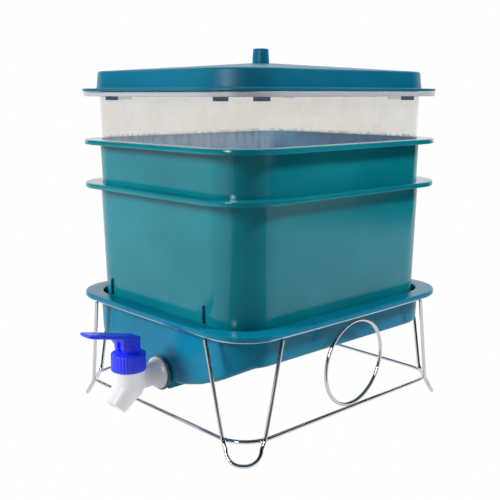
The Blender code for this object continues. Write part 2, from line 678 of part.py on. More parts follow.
lower_tray_body = body("lower_tray_body", (0, 0, LOWER_RIM_Z - TRAY_HEIGHT))
upper_tray_body = body("upper_tray_body", (0, 0, UPPER_RIM_Z - TRAY_HEIGHT))
clear_tray_body = body("clear_tray_body", (0, 0, CLEAR_RIM_Z - TRAY_HEIGHT))
lid_body = body("lid_body", (0, 0, LID_Z))

for name, parent, skin in (("lower_tray", lower_tray_body, TRAY_GREEN),
                           ("upper_tray", upper_tray_body, TRAY_GREEN),
                           ("clear_tray", clear_tray_body, FROSTED)):
    tray = add(name, tray_mesh(), skin, parent)
    if name == "lower_tray":
        combine(tray, cutter(name + " ribs", standoffs(), parent), "UNION")
    combine(tray, cutter(name + " holes", floor_holes(), parent), "DIFFERENCE")
    if name == "clear_tray":
        combine(tray, cutter(name + " vents", many(vent_boxes(0).values()), parent), "DIFFERENCE")
for place, shape in vent_boxes(CLEAR).items():
    screen = add("vent_screen_" + place, screen_band(), SCREEN, clear_tray_body)
    combine(screen, cutter("screen edge " + place, shape, clear_tray_body), "INTERSECT")


# Lid, with z = 0 at the underside of its rim

def lid_loop(distance, z, share=1.0):
    """Loop of the lid's wall or top, drawn in by a distance and shrunk by share."""
    loop = inset(LID_HALF_X, LID_HALF_Y, LID_CORNER, distance, z)
    loop[:, :2] *= share
    return loop


def crown(share, shell):
    """Height of the top at a share of its half width: edge + rise * (1 - share^2)."""
    flat = (1 - share ** 2) / (1 - LID_SEAT_SHARE ** 2)
    return LID_WALL_HEIGHT + LID_CROWN * flat - shell


skirt = (TRAY_HALF_X - TRAY_WALL, TRAY_HALF_Y - TRAY_WALL, TRAY_CORNER - TRAY_WALL)
skirt_gap = CLEAR + SLOPE * SKIRT_DEPTH
lid_rim = (LID_RIM_HALF_X, LID_RIM_HALF_Y, LID_RIM_CORNER)
shell_in = LID_SHELL + LID_LEAN
lid_loops = [lid_loop(shell_in, crown(share, LID_SHELL), share) for share in CROWN_SHARES]
lid_loops.append(lid_loop(shell_in, LID_WALL_HEIGHT - LID_SHELL - EASE))
lid_loops.append(lid_loop(LID_SHELL, LID_SHELL))
lid_loops.append(inset(*skirt, skirt_gap + SKIRT_WALL, LID_SHELL))
lid_loops.append(inset(*skirt, skirt_gap + SKIRT_WALL, -SKIRT_DEPTH))
lid_loops.append(inset(*skirt, skirt_gap, -SKIRT_DEPTH))
lid_loops.append(inset(*skirt, skirt_gap, 0))
lid_loops.append(inset(*lid_rim, EASE, 0))
lid_loops.append(inset(*lid_rim, 0, EASE))
lid_loops.append(inset(*lid_rim, 0, LID_RIM - EASE))
lid_loops.append(inset(*lid_rim, EASE, LID_RIM))
lid_loops.append(lid_loop(0, LID_RIM))
lid_loops.append(lid_loop(LID_LEAN, LID_WALL_HEIGHT - LID_EDGE))
lid_loops.append(lid_loop(LID_LEAN + LID_EDGE * EDGE_SHARE, LID_WALL_HEIGHT - LID_EDGE * EDGE_SHARE))
for share in reversed(CROWN_SHARES):
    lid_loops.append(lid_loop(LID_LEAN + LID_EDGE, crown(share, 0), share))
lid = add("lid_shell", loft(lid_loops), LID_BLUE, lid_body)
lid_hole = turned([(KNOB_SPIGOT / 2 + CLEAR, -OVERRUN), (KNOB_SPIGOT / 2 + CLEAR, LID_SHELL + OVERRUN)],
                  SMALL_STEPS)
seat_z = LID_WALL_HEIGHT + LID_CROWN
combine(lid, cutter("knob hole", lid_hole, lid_body, (0, 0, seat_z - LID_SHELL)), "DIFFERENCE")


def knob_mesh():
    """Peg knob: a tapered drum over a spigot, with a blind bore for the screw."""
    bore = SCREW_DIAMETER / 2 + CLEAR
    bore_top = SCREW_LENGTH - LID_SHELL + CLEAR
    top = KNOB_TOP_DIAMETER / 2
    profile = [(bore, bore_top), (bore, -LID_SHELL), (KNOB_SPIGOT / 2, -LID_SHELL),
               (KNOB_SPIGOT / 2, CLEAR), (KNOB_DIAMETER / 2, CLEAR), (KNOB_DIAMETER / 2, KNOB_EDGE),
               (top, KNOB_HEIGHT - KNOB_EDGE), (top - KNOB_EDGE * EDGE_SHARE, KNOB_HEIGHT - KNOB_EDGE * EDGE_SHARE),
               (top - KNOB_EDGE, KNOB_HEIGHT)]
    return turned(profile)


add("lid_knob", knob_mesh(), LID_BLUE, lid_body, (0, 0, seat_z))
head_z = -LID_SHELL - CLEAR
screw = turned([(SCREW_HEAD / 2 - EASE, head_z - SCREW_HEAD_HEIGHT),
                (SCREW_HEAD / 2, head_z - SCREW_HEAD_HEIGHT + EASE), (SCREW_HEAD / 2, head_z),
                (SCREW_DIAMETER / 2, head_z), (SCREW_DIAMETER / 2, head_z + SCREW_LENGTH)], SMALL_STEPS)
add("knob_screw", screw, STEEL, lid_body, (0, 0, seat_z))


# Tap, about the barrel's axis, with z = 0 at the shank's axis

tap_at = (TAP_X, TAP_Y, TAP_Z)
flange_y = TAP_REACH - WASHER - 2 * CLEAR
spout_axis = (0, -math.sin(SPOUT_LEAN), -math.cos(SPOUT_LEAN))
spout_at = (0, 0, SPOUT_START_Z - TAP_Z)
seat = SEAT_Z - TAP_Z
barrel_top = BARREL_TOP_Z - TAP_Z


def barrel_mesh():
    """Round-bottomed barrel with the narrower neck that the collar screws on to."""
    radius, neck = BARREL / 2, BARREL_NECK / 2
    profile = []
    for step in range(1, SMALL_STEPS // 2 + 1):
        angle = step / (SMALL_STEPS // 2) * math.pi / 2
        profile.append((radius * math.sin(angle), spout_at[2] - radius * math.cos(angle)))
    top = barrel_top + BARREL_NECK_HEIGHT
    profile += [(radius, barrel_top - EASE), (radius - EASE, barrel_top), (neck, barrel_top),
                (neck, top - EASE), (neck - EASE, top)]
    return turned(profile)


def shank_mesh():
    """Neck, flared flange and threaded shank, turned about Z and laid along +Y."""
    neck, flange, thread = SHANK_NECK / 2, SHANK_FLANGE / 2, SHANK / 2
    flare_y = flange_y - SHANK_FLANGE_THICK - SHANK_FLARE
    profile = [(neck, 0)]
    profile += [(neck + (flange - neck) * wide, flare_y + SHANK_FLARE * share)
                for share, wide in FLARE_SHARES]
    profile += [(flange, flange_y - SHANK_FLANGE_THICK + EASE), (flange, flange_y - EASE),
                (flange - EASE, flange_y), (thread, flange_y), (thread, flange_y + SHANK_LENGTH - EASE),
                (thread - EASE, flange_y + SHANK_LENGTH)]
    return along_y(turned(profile))


def spout_mesh():
    """Slanted outlet with a slightly rounded mouth."""
    radius = SPOUT / 2
    profile = [(radius, 0), (radius, SPOUT_LENGTH - 2 * EASE), (radius - EASE / 2, SPOUT_LENGTH - EASE / 2),
               (radius - 2 * EASE, SPOUT_LENGTH)]
    return turn_to(turned(profile), spout_axis)


tap = add("tap_body", barrel_mesh(), TAP_WHITE, location=tap_at)
combine(tap, cutter("tap shank", shank_mesh(), home, tap_at), "UNION")
spout_place = (TAP_X, TAP_Y, SPOUT_START_Z)
combine(tap, cutter("tap spout", spout_mesh(), home, spout_place), "UNION")
chamber = turned([(CHAMBER / 2, seat), (CHAMBER / 2, barrel_top + BARREL_NECK_HEIGHT + OVERRUN)], ROUND_STEPS)
combine(tap, cutter("tap chamber", chamber, home, tap_at), "DIFFERENCE")
shank_bore = along_y(turned([(SHANK_BORE / 2, 0), (SHANK_BORE / 2, flange_y + SHANK_LENGTH + OVERRUN)],
                            SMALL_STEPS))
combine(tap, cutter("tap shank bore", shank_bore, home, tap_at), "DIFFERENCE")
spout_bore = turn_to(turned([(SPOUT_BORE / 2, SPOUT_BORE_START), (SPOUT_BORE / 2, SPOUT_LENGTH + OVERRUN)],
                            ROUND_STEPS), spout_axis)
combine(tap, cutter("tap spout bore", spout_bore, home, spout_place), "DIFFERENCE")
seat_bore = turned([(SEAT_BORE / 2, seat - SPOUT_BORE_START), (SEAT_BORE / 2, seat + OVERRUN)], SMALL_STEPS)
combine(tap, cutter("tap seat bore", seat_bore, home, tap_at), "DIFFERENCE")

washer_at = (TAP_X, PAD_Y - CLEAR - WASHER, TAP_Z)
shank_fit = SHANK / 2 + CLEAR
add("tap_outer_washer", along_y(pipe(WASHER_DIAMETER / 2, shank_fit, WASHER)), SEALING, location=washer_at)
washer_at = (TAP_X, PAD_Y + TUB_WALL + CLEAR, TAP_Z)
add("tap_inner_washer", along_y(pipe(INNER_WASHER_DIAMETER / 2, shank_fit, WASHER)), SEALING,
    location=washer_at)


def nut_mesh():
    """Hexagon nut: its outline's radius is the flat's distance over the cosine from the flat."""
    steps = 2 * HEXAGON
    flat = NUT / 2 * math.cos(math.pi / HEXAGON)
    angles = np.arange(steps) * 2 * math.pi / steps
    reach = flat / np.cos((angles % (2 * math.pi / HEXAGON)) - math.pi / HEXAGON)

    def loop(radius, z):
        return np.column_stack([radius * np.cos(angles), radius * np.sin(angles), np.zeros(steps) + z])

    loops = [loop(shank_fit, 0), loop(reach - EASE, 0), loop(reach, EASE), loop(reach, NUT_THICK - EASE),
             loop(reach - EASE, NUT_THICK), loop(shank_fit, NUT_THICK)]
    return along_y(loft(loops, wrap=True))


add("tap_nut", nut_mesh(), TAP_WHITE, location=(TAP_X, PAD_Y + TUB_WALL + 2 * CLEAR + WASHER, TAP_Z))


def collar_mesh():
    """Screw collar: ribbed skirt and a top plate that guides the stem."""
    steps = 2 * COLLAR_RIBS
    radius, bore, guide = COLLAR / 2, BARREL_NECK / 2 + CLEAR, STEM / 2 + CLEAR
    under = COLLAR_HEIGHT - COLLAR_PLATE
    profile = [(bore, 0), (radius - 2 * EASE, 0), (radius, 2 * EASE), (radius, COLLAR_HEIGHT - 2 * EASE),
               (radius - 2 * EASE, COLLAR_HEIGHT), (guide, COLLAR_HEIGHT), (guide, under), (bore, under)]
    verts, faces = turned(profile, steps, wrap=True)
    for index, vert in enumerate(verts):
        reach = math.hypot(vert[0], vert[1])
        if index % 2 and reach > radius - EASE:
            vert[:2] *= (reach - COLLAR_RIB) / reach
    return verts, faces


add("tap_collar", collar_mesh(), TAP_BLUE, location=(TAP_X, TAP_Y, COLLAR_Z))

# Plunger: a rubber seal on a stem whose eye holds the lever's pin
stem_body = body("tap_stem_body", (TAP_X, TAP_Y, PIN_Z))
seal_z = SEAT_Z + CLEAR - PIN_Z
grip = STEM / 2 + CLEAR
seal = turned([(SEAL / 2 - EASE, 0), (SEAL / 2, EASE), (SEAL / 2, SEAL_THICK / 2),
               (SEAL / 2 - SEAL_THICK / 2, SEAL_THICK), (grip, SEAL_THICK), (grip, SEAL_SOLE)])
add("tap_seal", seal, SEALING, stem_body, (0, 0, seal_z))

stem_low = seal_z + SEAL_SOLE + CLEAR
stem_neck = COLLAR_Z + COLLAR_HEIGHT + CLEAR - PIN_Z
stem = add("tap_stem", turned([(STEM / 2, stem_low), (STEM / 2, stem_neck + EASE)], SMALL_STEPS), TAP_BLUE,
           stem_body)
eye = [(-STEM_EYE / 2, stem_neck), (STEM_EYE / 2, stem_neck)]
eye += [(STEM_EYE / 2 * math.cos(a), STEM_EYE / 2 * math.sin(a))
        for a in np.linspace(0, math.pi, SMALL_STEPS)]
combine(stem, cutter("stem eye", extruded(eye, STEM / 2), stem_body), "UNION")


def pin_cutter(name, half_width, parent):
    """Bore for the pin, along X."""
    radius = PIN / 2 + CLEAR
    bore = turned([(radius, -half_width), (radius, half_width)], SMALL_STEPS)
    return cutter(name, turn_to(bore, (1, 0, 0)), parent)


combine(stem, pin_cutter("stem pin bore", STEM, stem_body), "DIFFERENCE")

lever_body = body("tap_lever_body", (0, 0, 0))
lever_body.parent = stem_body


def lever_block():
    """Two cheeks in one outline: a round heel ahead of the pin, a flat sole and a square back."""
    front = CAM_FORWARD + CAM_RADIUS
    top = LEVER_TOP + (LEVER_BACK + front) * math.tan(PADDLE_RISE)
    outline = [(LEVER_BACK, -CAM_RADIUS), (LEVER_BACK, LEVER_TOP - EASE),
               (LEVER_BACK - EASE, LEVER_TOP), (-front, top - PADDLE_THICK / 2)]
    for step in range(SMALL_STEPS // 2 + 1):
        angle = math.pi + step / (SMALL_STEPS // 2) * math.pi / 2
        outline.append((-CAM_FORWARD + CAM_RADIUS * math.cos(angle), CAM_RADIUS * math.sin(angle)))
    return extruded(outline, LEVER_WIDTH / 2)


def paddle():
    """Finger paddle: rounded sections that rise and widen towards the tip."""
    loops = []
    length = LEVER_REACH + LEVER_BACK - EASE
    for along, wide, thick in PADDLE_SHARES:
        y = LEVER_BACK - EASE - along * length
        half, depth = PADDLE_WIDTH / 2 * wide, PADDLE_THICK * thick
        middle_z = LEVER_TOP + (LEVER_BACK - y) * math.tan(PADDLE_RISE) - PADDLE_THICK / 2
        edge = depth / 4
        right = [(half - edge, -depth / 2), (half, -edge), (half, edge), (half - edge, depth / 2)]
        section = right + [(-x, z) for x, z in reversed(right)]
        loops.append(np.array([(x, y, middle_z + z) for x, z in section]))
    return loft(loops)


lever = add("tap_lever", lever_block(), TAP_BLUE, lever_body)
combine(lever, cutter("lever paddle", paddle(), lever_body), "UNION")
slot_half = STEM / 2 + CLEAR
slot = box((-slot_half, -CAM_FORWARD - CAM_RADIUS - OVERRUN, -CAM_RADIUS - OVERRUN),
           (slot_half, LEVER_BACK + OVERRUN, LEVER_TOP - LEVER_WEB))
combine(lever, cutter("lever slot", slot, lever_body), "DIFFERENCE")
combine(lever, pin_cutter("lever pin bore", LEVER_WIDTH, lever_body), "DIFFERENCE")
pin = turned([(PIN / 2 - EASE / 2, -LEVER_WIDTH / 2), (PIN / 2, -LEVER_WIDTH / 2 + EASE),
              (PIN / 2, LEVER_WIDTH / 2 - EASE), (PIN / 2 - EASE / 2, LEVER_WIDTH / 2)], SMALL_STEPS)
add("tap_pin", turn_to(pin, (1, 0, 0)), TAP_BLUE, lever_body)
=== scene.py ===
"""Looks of a worm composter: nested trays under a crowned lid, on a drip tub in a wire stand.

The stack's mouldings are profiles carried round a rounded rectangle, the wires are round sections
carried along their centre lines, and the tap is turned, joined and softened. Metres, in the frame
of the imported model.
"""

import math

import bmesh
import bpy
import numpy as np
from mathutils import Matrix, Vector


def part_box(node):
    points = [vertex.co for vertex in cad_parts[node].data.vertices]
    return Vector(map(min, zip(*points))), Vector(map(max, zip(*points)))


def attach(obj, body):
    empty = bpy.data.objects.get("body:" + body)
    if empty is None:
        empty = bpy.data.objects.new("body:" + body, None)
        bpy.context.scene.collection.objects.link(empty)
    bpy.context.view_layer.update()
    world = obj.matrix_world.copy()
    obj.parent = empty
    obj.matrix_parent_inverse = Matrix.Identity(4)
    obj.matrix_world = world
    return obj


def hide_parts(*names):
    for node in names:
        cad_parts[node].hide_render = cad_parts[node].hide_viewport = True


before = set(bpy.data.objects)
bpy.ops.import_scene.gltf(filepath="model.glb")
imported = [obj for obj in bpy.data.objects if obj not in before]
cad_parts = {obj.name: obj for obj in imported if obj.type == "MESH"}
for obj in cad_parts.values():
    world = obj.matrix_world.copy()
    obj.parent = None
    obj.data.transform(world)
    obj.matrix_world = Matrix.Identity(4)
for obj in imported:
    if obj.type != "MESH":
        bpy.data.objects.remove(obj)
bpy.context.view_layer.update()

# Sizes. An outline is a rounded rectangle: half width, half depth and corner radius.

STACK_Y = 0.035816                   # middle of the stack
SLOPE = math.tan(math.radians(2.2))  # lean of the tub's and the trays' walls
CLEAR = 0.0003                       # gap between pieces that meet
WIRE = 0.002                         # half the wire's thickness

TUB_RIM = (0.1541, 0.1703, 0.048)
TUB_WALL = (0.1365, 0.154, 0.043)  # where it meets the top of the rim
TUB_RIM_Z = 0.1295
TUB_RIM_THICK = 0.0032
TUB_RIM_ROUND = 0.0013
TUB_LIP = (0.0013, 0.0016)         # thickness, and drop below the rim
TUB_BOW = 0.02                     # share by which a side of the rim falls back at its ends
TUB_SHELL = 0.0023
TUB_DEEP = 0.0395                  # top of the rim to the underside of the floor
TUB_SAG = 0.0385                   # how much lower the hollow's deepest place is
TUB_SAG_HALF = 0.1266              # the hollow's half width
TUB_FOOT = 0.006                   # rounding from floor to wall

TRAY_RIM = (0.150, 0.1704, 0.059)
TRAY_WALL = (0.1364, 0.1544, 0.050)  # where it meets the top of the rim
TRAY_HIGH = 0.1503
TRAY_SHELL = 0.0015
TRAY_FLOOR = 0.0018
TRAY_LIP = 0.0053                    # depth of the turned-down rim
TRAY_FOOT = 0.006                    # rounding from floor to wall
TRAY_RIMS = {node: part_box(node)[1].z for node in ("lower_tray", "upper_tray", "clear_tray")}

HOLE_HALF = 0.0045               # sieve holes
HOLE_PITCH = 0.040
HOLE_COUNT = (6, 7)              # across and along
HOLE_KEEP = (0.09, 0.11)         # past both of these a hole would be in a corner
SLOT_DROP = (0.0042, 0.0099)     # top of the rim to a slot's top and bottom
SLOTS_FRONT = ((-0.0776, 0.0125), (0.1026, 0.00825))  # middle and half length
SLOTS_RIGHT = ((-0.1225, 0.00825), (0.0993, 0.0125))
SLOT_REACH_Y = (0.1294, 0.1584)  # cut from inside the wall to outside it
SLOT_REACH_X = (0.1114, 0.1404)
RIB_X = (-0.0881, 0.0760)
RIB_HALF = 0.0004
RIB_HIGH = 0.020
RIB_SLOPE = 0.0025               # drop of a rib's top from the wall to its face
RIB_OVER = 0.0008                # inside of the tub's wall to a rib's face, over the rim

LID_RIM = (0.1495, 0.1741, 0.062)
LID_WALL = (0.1385, 0.1615, 0.061)  # at its foot
LID_SKIRT = 0.005                   # depth of the centring skirt below the rim
LID_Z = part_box("lid_shell")[0].z + LID_SKIRT
LID_RIM_THICK = 0.0030
LID_HIGH = 0.0222                   # underside of the rim to the edge of the crown
LID_LEAN = 0.0016                   # how far the wall leans in over its height
LID_SHELL = 0.0020
LID_RISE = 0.0096                   # edge of the crown to its middle
LID_EDGE = 0.0025                   # rounding from wall to crown
LID_SEAT = 0.09                     # share of the crown that is flat, under the knob
SKIRT_WALL = 0.0016
SKIRT_INSET = 0.0015                # tray wall's outline to the skirt's
KNOB_SEAT = (0, STACK_Y, LID_Z + LID_HIGH + LID_RISE)

TOP_RING = (0.1501, 0.1663, 0.044)
LOW_RING = (0.1424, 0.1576, 0.0363)
TOP_RING_Z = 0.124
LOW_RING_Z = 0.022
FOOT_KICK = math.radians(30.5)  # lean of the U at the foot of a leg, outwards
FOOT_RADIUS = 0.016
FOOT_FLAT = 0.0030              # straight run at the bottom of the U
LEG_HALF = 0.0205               # half the leg's width at the bottom ring
LEG_TOP_BACK = 0.009            # start of the ring's corner to a leg's upper end
LEG_BEND = 0.006                # reach of the bend at the bottom ring
CIRCLE_HALF = 0.0445            # half a side circle's width

TAP = (0.0065, -0.158615, 0.0626)  # barrel's axis at the shank's height
PAD_Y = -0.118115                  # face of the pad on the tub
PAD = (0.0155, 0.0147, 0.0215)     # half width, drop below the shank's axis, depth
WELL = (0.0132, 0.0124, 0.0169)    # the pad's hollow, likewise
TAP_HOLE = 0.0083                  # radius of the hole in the tub and in the washers
FLANGE_Y = 0.0379                  # from the barrel's axis to the flange's face
BARREL = 0.0163                    # radii of the tap's body
BOWL_DROP = 0.0044                 # shank's axis to the middle of the round bowl
SHOULDER_Z = 0.0121                # from the shank's axis up
NECK = (0.0145, 0.0234)            # radius and top of the part inside the collar
SHANK = 0.0119
FLANGE = 0.0170
THREAD = 0.0080
CHAMBER = 0.0115                   # radii of its hollows
BORE = 0.0055
MOUTH = 0.00825
SHANK_PAST = 0.0185                # the flange's face to the shank's end
SPOUT_LEAN = math.radians(42)
SPOUT_Z = 0.0582                   # where the spout's axis leaves the barrel's
SPOUT = (0.0159, 0.01225, 0.0263)  # radius at the bowl and at the end, length
WASHER = 0.002                     # thickness
COLLAR_Z = 0.0750
PIN = (TAP[0], TAP[1], 0.1001)
PADDLE_RISE = math.radians(12.5)
LEVER_TOP = 0.0100                 # pin to the top of the lever's back
LEVER_BACK = 0.0094
LEVER_HALF = 0.0090                # half its width
HEEL = 0.0068                      # radius of the heel that rides on the collar
HEEL_AHEAD = 0.0045                # pin to the heel's middle
PADDLE_HALF = (0.012, 0.0023)      # half its width, half its thickness
PADDLE_LONG = 0.0601


# Meshes

def sides_and_corners(corner_steps=20, side_steps=8):
    """Columns of a rounded rectangle, anticlockwise from +X: corner signs and a unit circle.

    Round a corner the signs stay and the angle turns. Along a side the angle stays and the sign
    runs evenly to the next corner's.
    """
    signs = np.array(((1, 1), (-1, 1), (-1, -1), (1, -1)), float)
    after = np.roll(signs, -1, axis=0)
    run = np.concatenate([np.zeros(corner_steps + 1), np.arange(1, side_steps) / side_steps])
    turn = np.concatenate([np.linspace(0, 1, corner_steps + 1), np.ones(side_steps - 1)])
    corner = signs[:, None] * (1 - run[:, None]) + after[:, None] * run[:, None]
    angle = (np.arange(4)[:, None] + turn) * math.pi / 2
    columns = (corner[..., 0], corner[..., 1], np.cos(angle), np.sin(angle))
    return tuple(column.ravel() for column in columns)


SIGN_X, SIGN_Y, TURN_X, TURN_Y = sides_and_corners()


def bands(outline, drawn, z, bow=0.0, share=1.0):
    """Rows of a rounded rectangle, each drawn in by a distance and shrunk about the middle.

    x = sign * (half - corner) + corner * cos, and y with sin. A side then bows: x falls by
    bow * (y / half)^2, and y in the same way.
    """
    drawn, z, share = (np.atleast_1d(np.asarray(v, float))[:, None] for v in (drawn, z, share))
    half_x, half_y, corner = (size - drawn for size in outline)
    x = SIGN_X * (half_x - corner) + corner * TURN_X
    y = SIGN_Y * (half_y - corner) + corner * TURN_Y
    flat = [x * (1 - bow * (y / half_y) ** 2) * share, y * (1 - bow * (x / half_x) ** 2) * share]
    return np.stack(np.broadcast_arrays(*flat, z + 0 * x), axis=-1)


def leaning(outline, top, drawn, z):
    """Rows on a wall that leans in towards its foot, drawn in by slope * (top - z)."""
    return bands(outline, np.asarray(drawn) + SLOPE * (top - np.asarray(z)), z)


def bend(drawn, z, radius, start, stop, steps=6):
    """Arc in a profile: drawn - radius * cos, z + radius * sin. 0 degrees faces out and 90 up."""
    angle = np.radians(np.linspace(start, stop, steps + 1))
    return drawn - radius * np.cos(angle), z + radius * np.sin(angle)


def skin(name, grid, ring=False, ends="flat"):
    """Piece over a grid of rows that each close on themselves.

    Four neighbours make a face. The first and last rows join where ring is set, and otherwise have
    a flat face, or a fan about their own middle.
    """
    rows, size = grid.shape[:2]
    index = np.arange(rows * size).reshape(rows, size)
    low, high = (index, np.roll(index, -1, axis=0)) if ring else (index[:-1], index[1:])
    quads = np.stack([low, np.roll(low, -1, axis=1), np.roll(high, -1, axis=1), high], axis=-1)
    faces, verts = quads.reshape(-1, 4).tolist(), grid.reshape(-1, 3)
    if not ring and ends == "flat":
        faces += [index[0][::-1].tolist(), index[-1].tolist()]
    if not ring and ends == "fan":
        tips = np.array([grid[0].mean(axis=0), grid[-1].mean(axis=0)])
        verts = np.vstack([verts, tips])
        for row, tip in ((index[0][::-1], len(verts) - 2), (index[-1], len(verts) - 1)):
            faces += np.stack([row, np.roll(row, -1), np.full(size, tip)], axis=-1).tolist()
    return piece(name, verts, faces)


def piece(name, verts, faces):
    """Object at the origin, with its place in its points."""
    mesh = bpy.data.meshes.new(name)
    mesh.from_pydata(np.asarray(verts).tolist(), [], faces)
    mesh.validate()
    made = bpy.data.objects.new(name, mesh)
    bpy.context.scene.collection.objects.link(made)
    return made


def turned(name, profile, at, axis=(0, 0, 1), ring=False, steps=72):
    """Lathe: (radius, height) points turned about an axis, listed from the underside outwards."""
    profile = np.asarray(profile, float)
    angle = np.arange(steps) * 2 * math.pi / steps
    grid = np.stack([profile[:, :1] * np.cos(angle), profile[:, :1] * np.sin(angle),
                     profile[:, 1:] + 0 * angle], axis=-1)
    spin = np.array(Vector((0, 0, 1)).rotation_difference(Vector(axis)).to_matrix())
    return skin(name, grid @ spin.T + np.array(at, float), ring, "fan")


def edge(radius, height, size, start, stop, steps=4):
    """Rounded corner of a lathe profile: (radius + size * cos, height + size * sin)."""
    angle = np.radians(np.linspace(start, stop, steps + 1))
    arc = np.column_stack([radius + size * np.cos(angle), height + size * np.sin(angle)])
    return [tuple(point) for point in arc]


def block(low, high):
    """Corners and faces of a plain box, for a cutter."""
    low, high = np.array(low, float), np.array(high, float)
    pick = np.array([(i & 1, i >> 1 & 1, i >> 2) for i in range(8)])
    faces = [(0, 2, 3, 1), (4, 5, 7, 6), (0, 1, 5, 4), (2, 6, 7, 3), (0, 4, 6, 2), (1, 3, 7, 5)]
    return np.where(pick, high, low), faces


def blocks(name, boxes):
    """Several boxes as one cutter."""
    made = [block(*box) for box in boxes]
    faces = [[8 * i + k for k in face] for i, (_, part) in enumerate(made) for face in part]
    return piece(name, np.vstack([verts for verts, _ in made]), faces)


def settle(made):
    """Apply a piece's modifiers."""
    bpy.context.view_layer.update()
    ready = made.evaluated_get(bpy.context.evaluated_depsgraph_get())
    old, made.data = made.data, bpy.data.meshes.new_from_object(ready)
    made.modifiers.clear()
    bpy.data.meshes.remove(old)
    return made


def carve(made, tool, operation="DIFFERENCE"):
    """Boolean, applied, after which the tool is gone."""
    step = made.modifiers.new("carve", "BOOLEAN")
    step.operation, step.solver, step.object = operation, "EXACT", tool
    settle(made)
    bpy.data.objects.remove(tool, do_unlink=True)
    return made


def soften(made, grain, rounds):
    """Voxel skin over joined forms, smoothed so that their edges and meetings are rounded."""
    step = made.modifiers.new("skin", "REMESH")
    step.mode, step.voxel_size, step.use_smooth_shade = "VOXEL", grain, True
    step = made.modifiers.new("smooth", "SMOOTH")
    step.factor, step.iterations = 0.5, rounds
    return settle(made)


def dress(made, finish, body, *nodes, slot, sharp=35):
    """Shade, finish and hang a piece on its body in place of its CAD nodes."""
    made.data.materials.clear()
    made.data.materials.append(finish)
    made.data.shade_smooth()
    if sharp:
        made.data.set_sharp_from_angle(angle=math.radians(sharp))
    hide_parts(*nodes)
    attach(made, body)


def tube(name, path, outward, closed=True, sides=18):
    """Round wire: at each point a circle of two directions across the line.

    The first is outward less its part along the line, and the second stands across both.
    """
    path = np.asarray(path, float)
    outward = np.broadcast_to(outward, path.shape).astype(float)
    if closed:
        along = np.roll(path, -1, axis=0) - np.roll(path, 1, axis=0)
    else:
        along = np.gradient(path, axis=0)
    along /= np.linalg.norm(along, axis=1)[:, None]
    first = outward - (outward * along).sum(axis=1)[:, None] * along
    first /= np.linalg.norm(first, axis=1)[:, None]
    second = np.cross(along, first)
    angle = (np.arange(sides) * 2 * math.pi / sides)[None, :, None]
    section = np.cos(angle) * first[:, None] + np.sin(angle) * second[:, None]
    return skin(name, path[:, None] + WIRE * section, ring=closed, ends="fan")


# Materials

class Signal:
    """A node's output, which adds Math nodes when it is used in a sum."""

    def __init__(self, finish, socket):
        self.finish, self.socket = finish, socket

    def __add__(self, other):
        return self.finish.maths("ADD", self, other)

    def __radd__(self, other):
        return self.finish.maths("ADD", other, self)

    def __sub__(self, other):
        return self.finish.maths("SUBTRACT", self, other)

    def __rsub__(self, other):
        return self.finish.maths("SUBTRACT", other, self)

    def __mul__(self, other):
        return self.finish.maths("MULTIPLY", self, other)

    def __rmul__(self, other):
        return self.finish.maths("MULTIPLY", other, self)


class Finish:
    """One material. Constant values go on the shader's own sockets."""

    def __init__(self, name, **constant):
        self.material = bpy.data.materials.new(name)
        self.material.use_nodes = True
        self.tree = self.material.node_tree
        self.shader = self.tree.nodes["Principled BSDF"]
        for socket, value in constant.items():
            label = socket.replace("_", " ").title().replace("Ior", "IOR")
            self.shader.inputs[label].default_value = value
        self.place = self.node("ShaderNodeTexCoord", out="Object")

    def node(self, kind, settings=None, sockets=None, out=0):
        """Any node: its settings first, then the values or links of its sockets."""
        made = self.tree.nodes.new(kind)
        for key, value in (settings or {}).items():
            setattr(made, key, value)
        self.connect(made, sockets or {})
        return Signal(self, made.outputs[out])

    def connect(self, made, sockets):
        """Link signals to a node's sockets and set plain values on them."""
        for key, value in sockets.items():
            if isinstance(value, Signal):
                self.tree.links.new(value.socket, made.inputs[key])
            else:
                made.inputs[key].default_value = value

    def maths(self, operation, *values):
        """A Math node over one or two values."""
        return self.node("ShaderNodeMath", {"operation": operation}, dict(enumerate(values)))

    def axes(self, vector):
        """The three parts of a vector."""
        parts = self.node("ShaderNodeSeparateXYZ", {}, {0: vector}).socket.node.outputs
        return [Signal(self, part) for part in parts]

    def noise(self, scale, detail=2.0, stretch=None, rough=0.5):
        """Noise about 0.5 on Object coordinates, longer on an axis whose stretch is below 1."""
        place = self.place
        if stretch:
            place = self.node("ShaderNodeMapping", {}, {"Vector": place, "Scale": stretch})
        return self.node("ShaderNodeTexNoise", {},
                         {"Vector": place, "Scale": scale, "Detail": detail, "Roughness": rough})

    def spread(self, value, low, high, to_low=0.0, to_high=1.0):
        """Value from low to high becomes to_low to to_high, smoothly and held at the ends."""
        return self.node("ShaderNodeMapRange", {"interpolation_type": "SMOOTHSTEP"},
                         {"Value": value, "From Min": low, "From Max": high,
                          "To Min": to_low, "To Max": to_high})

    def blend(self, share, first, second):
        """Colour from first to second by share: inputs 6 and 7 of a Mix node, and its output 2."""
        first, second = (c if isinstance(c, Signal) else (*c, 1) for c in (first, second))
        return self.node("ShaderNodeMix", {"data_type": "RGBA"}, {0: share, 6: first, 7: second},
                         out=2)

    def bump(self, height, distance):
        """Normal tilted by a height, whose full range is the distance."""
        return self.node("ShaderNodeBump", {}, {"Height": height, "Distance": distance})

    def feed(self, **sockets):
        """Join what varies to the shader, and give the material."""
        self.connect(self.shader, {key.replace("_", " "): value for key, value in sockets.items()})
        return self.material


